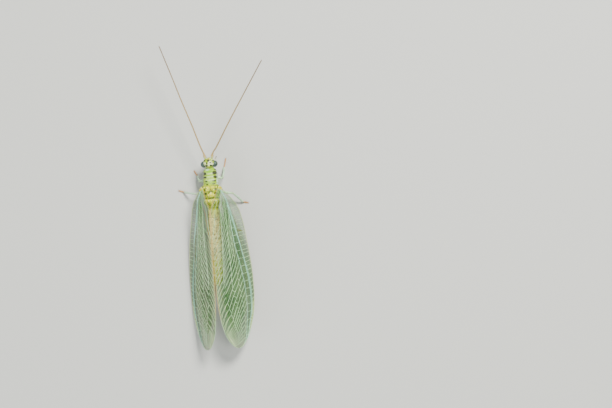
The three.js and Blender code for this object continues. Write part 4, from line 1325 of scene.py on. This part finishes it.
class LACEWING_OT_hairs(bpy.types.Operator):
    """Fine pale hairs over head, thorax and abdomen"""
    bl_idname = "lacewing.hairs"
    bl_label = "Hairs"

    def execute(self, context):
        """Roots are drawn over the body's skin, and each hair leans back from the skin's own outward direction."""
        coat, count = Shape(), BODY_HAIRS
        back = np.concatenate([rng.uniform(-1.7, 1.4, count // 2), rng.uniform(1.5, 7.5, count - count // 2)])
        angle = rng.uniform(-0.35, np.pi + 0.35, count)
        roots = body_point(back, angle, -0.005)
        away = unit(body_point(back, angle, 0.1) - roots)
        ways = away + np.array([0, 0.7, 0]) + rng.normal(0, 0.2, (count, 3))
        patch = np.stack([(back + 2.1) / 9.8, (angle + 0.5) / 4.5], axis=-1)
        length = sizes().hair * (0.6 + 0.6 * rng.random(count)) * np.where(back < 1.4, 1.0, 0.7)
        add_bristles(coat, roots, ways, length, 0.0045, patch)
        count = HEAD_HAIRS
        level = rng.uniform(1.6, 2.72, count)
        angle = rng.uniform(0, 2 * np.pi, count)
        roots = head_point(level, angle, -0.005)
        away = unit(head_point(level, angle, 0.1) - roots + [0, 0, 0.05])
        ways = away + np.array([0, -0.2, 0.3]) + rng.normal(0, 0.15, (count, 3))
        patch = np.stack([angle / (2 * np.pi), (level - 1.5) / 1.4], axis=-1)
        length = 0.7 * sizes().hair * (0.6 + 0.6 * rng.random(count))
        add_bristles(coat, roots, ways, length, HAIR_RADIUS, patch, np.abs(roots[:, 0]) < 0.36)
        coat.build("body_hairs", "bristle", hair_skin("body_hair", (0.6, 0.62, 0.42), (0.36, 0.36, 0.22)))
        return {"FINISHED"}


class LACEWING_OT_stage(bpy.types.Operator):
    """Pale floor, soft studio light and the camera at the photo's angle"""
    bl_idname = "lacewing.stage"
    bl_label = "Stage"

    def execute(self, context):
        settings = context.scene.lacewing_stage
        bpy.ops.mesh.primitive_grid_add(x_subdivisions=8, y_subdivisions=8, size=FLOOR_SIZE,
                                        location=(0, 0, CAD_LOW.z))
        ground = context.object
        ground.name = "studio_floor"
        ground.data.materials.append(floor_paint())
        aim = Vector(spot(LIGHT_AIM))
        for name, (place, size, setting, share, colour) in LIGHTS.items():
            data = bpy.data.lights.new(name, "AREA")
            data.energy, data.color = getattr(settings, setting) * share, colour
            data.shape, data.size = "DISK", size
            light = bpy.data.objects.new(name, data)
            light.location = aim + Vector(place) * LIGHT_REACH
            light.rotation_euler = (aim - light.location).to_track_quat("-Z", "Y").to_euler()
            context.scene.collection.objects.link(light)
        world = bpy.data.worlds.new("studio_world")
        world.use_nodes = True
        sky = world.node_tree.nodes["Background"]
        sky.inputs[0].default_value, sky.inputs[1].default_value = SKY_COLOUR, SKY_STRENGTH
        context.scene.world = world
        self.camera(context, settings.lens)
        return {"FINISHED"}

    def camera(self, context, lens):
        """The camera looks down on the back, rolled towards the insect's right side and turned by the body's lean.
        It is aimed at the point of the photo's middle at the wings' height, far enough away for the photo's
        scale."""
        right_hand = Vector((-math.cos(ROLL), 0, -math.sin(ROLL)))
        rearward = Vector((0, 1, 0))
        right = math.cos(LEAN) * right_hand + math.sin(LEAN) * rearward
        above = math.sin(LEAN) * right_hand - math.cos(LEAN) * rearward
        towards = right.cross(above)
        dx = (PHOTO_WIDTH / 2 - HINGE_PIXEL[0]) / PIXELS_PER_MM
        dy = (PHOTO_HEIGHT / 2 - HINGE_PIXEL[1]) / PIXELS_PER_MM
        out = (dx * math.cos(LEAN) - dy * math.sin(LEAN)) / math.cos(ROLL)
        back = dx * math.sin(LEAN) + dy * math.cos(LEAN)
        aim = Vector(spot((-out, back, FOCUS_HEIGHT)))
        data = bpy.data.cameras.new("photo_camera")
        data.lens, data.sensor_width = lens, SENSOR_WIDTH
        data.clip_start, data.clip_end = 0.005, 10.0
        camera = bpy.data.objects.new("photo_camera", data)
        turned = Matrix((right, above, towards)).transposed().to_4x4()
        distance = PHOTO_WIDTH / PIXELS_PER_MM * MM * lens / data.sensor_width
        camera.matrix_world = Matrix.Translation(aim + towards * distance) @ turned
        context.scene.collection.objects.link(camera)
        context.scene.camera = camera


STEPS = ("stage", "body", "eyes", "mouthparts", "feelers", "legs", "wings", "hairs")
GROUPS = {"lacewing_colours": LacewingColours, "lacewing_sizes": LacewingSizes, "lacewing_stage": StageSettings}


class LACEWING_PT_panel(bpy.types.Panel):
    """Every step of the lacewing, in the sidebar"""
    bl_label = "Lacewing"
    bl_idname = "LACEWING_PT_panel"
    bl_space_type = "VIEW_3D"
    bl_region_type = "UI"
    bl_category = "Lacewing"

    def draw(self, context):
        for step in STEPS:
            self.layout.operator(f"lacewing.{step}")
        for name in GROUPS:
            box, group = self.layout.box(), getattr(context.scene, name)
            for key in group.bl_rna.properties.keys():
                if key not in ("rna_type", "name"):
                    box.prop(group, key)


CLASSES = (*GROUPS.values(), LACEWING_OT_stage, LACEWING_OT_body, LACEWING_OT_eyes, LACEWING_OT_mouthparts,
           LACEWING_OT_feelers, LACEWING_OT_legs, LACEWING_OT_wings, LACEWING_OT_hairs, LACEWING_PT_panel)


def register():
    for cls in CLASSES:
        bpy.utils.register_class(cls)
    for name, group in GROUPS.items():
        setattr(bpy.types.Scene, name, PointerProperty(type=group))


def unregister():
    for name in GROUPS:
        delattr(bpy.types.Scene, name)
    for cls in reversed(CLASSES):
        bpy.utils.unregister_class(cls)


def main():
    register()
    for step in STEPS:
        getattr(bpy.ops.lacewing, step)()


if __name__ == "__main__":
    main()
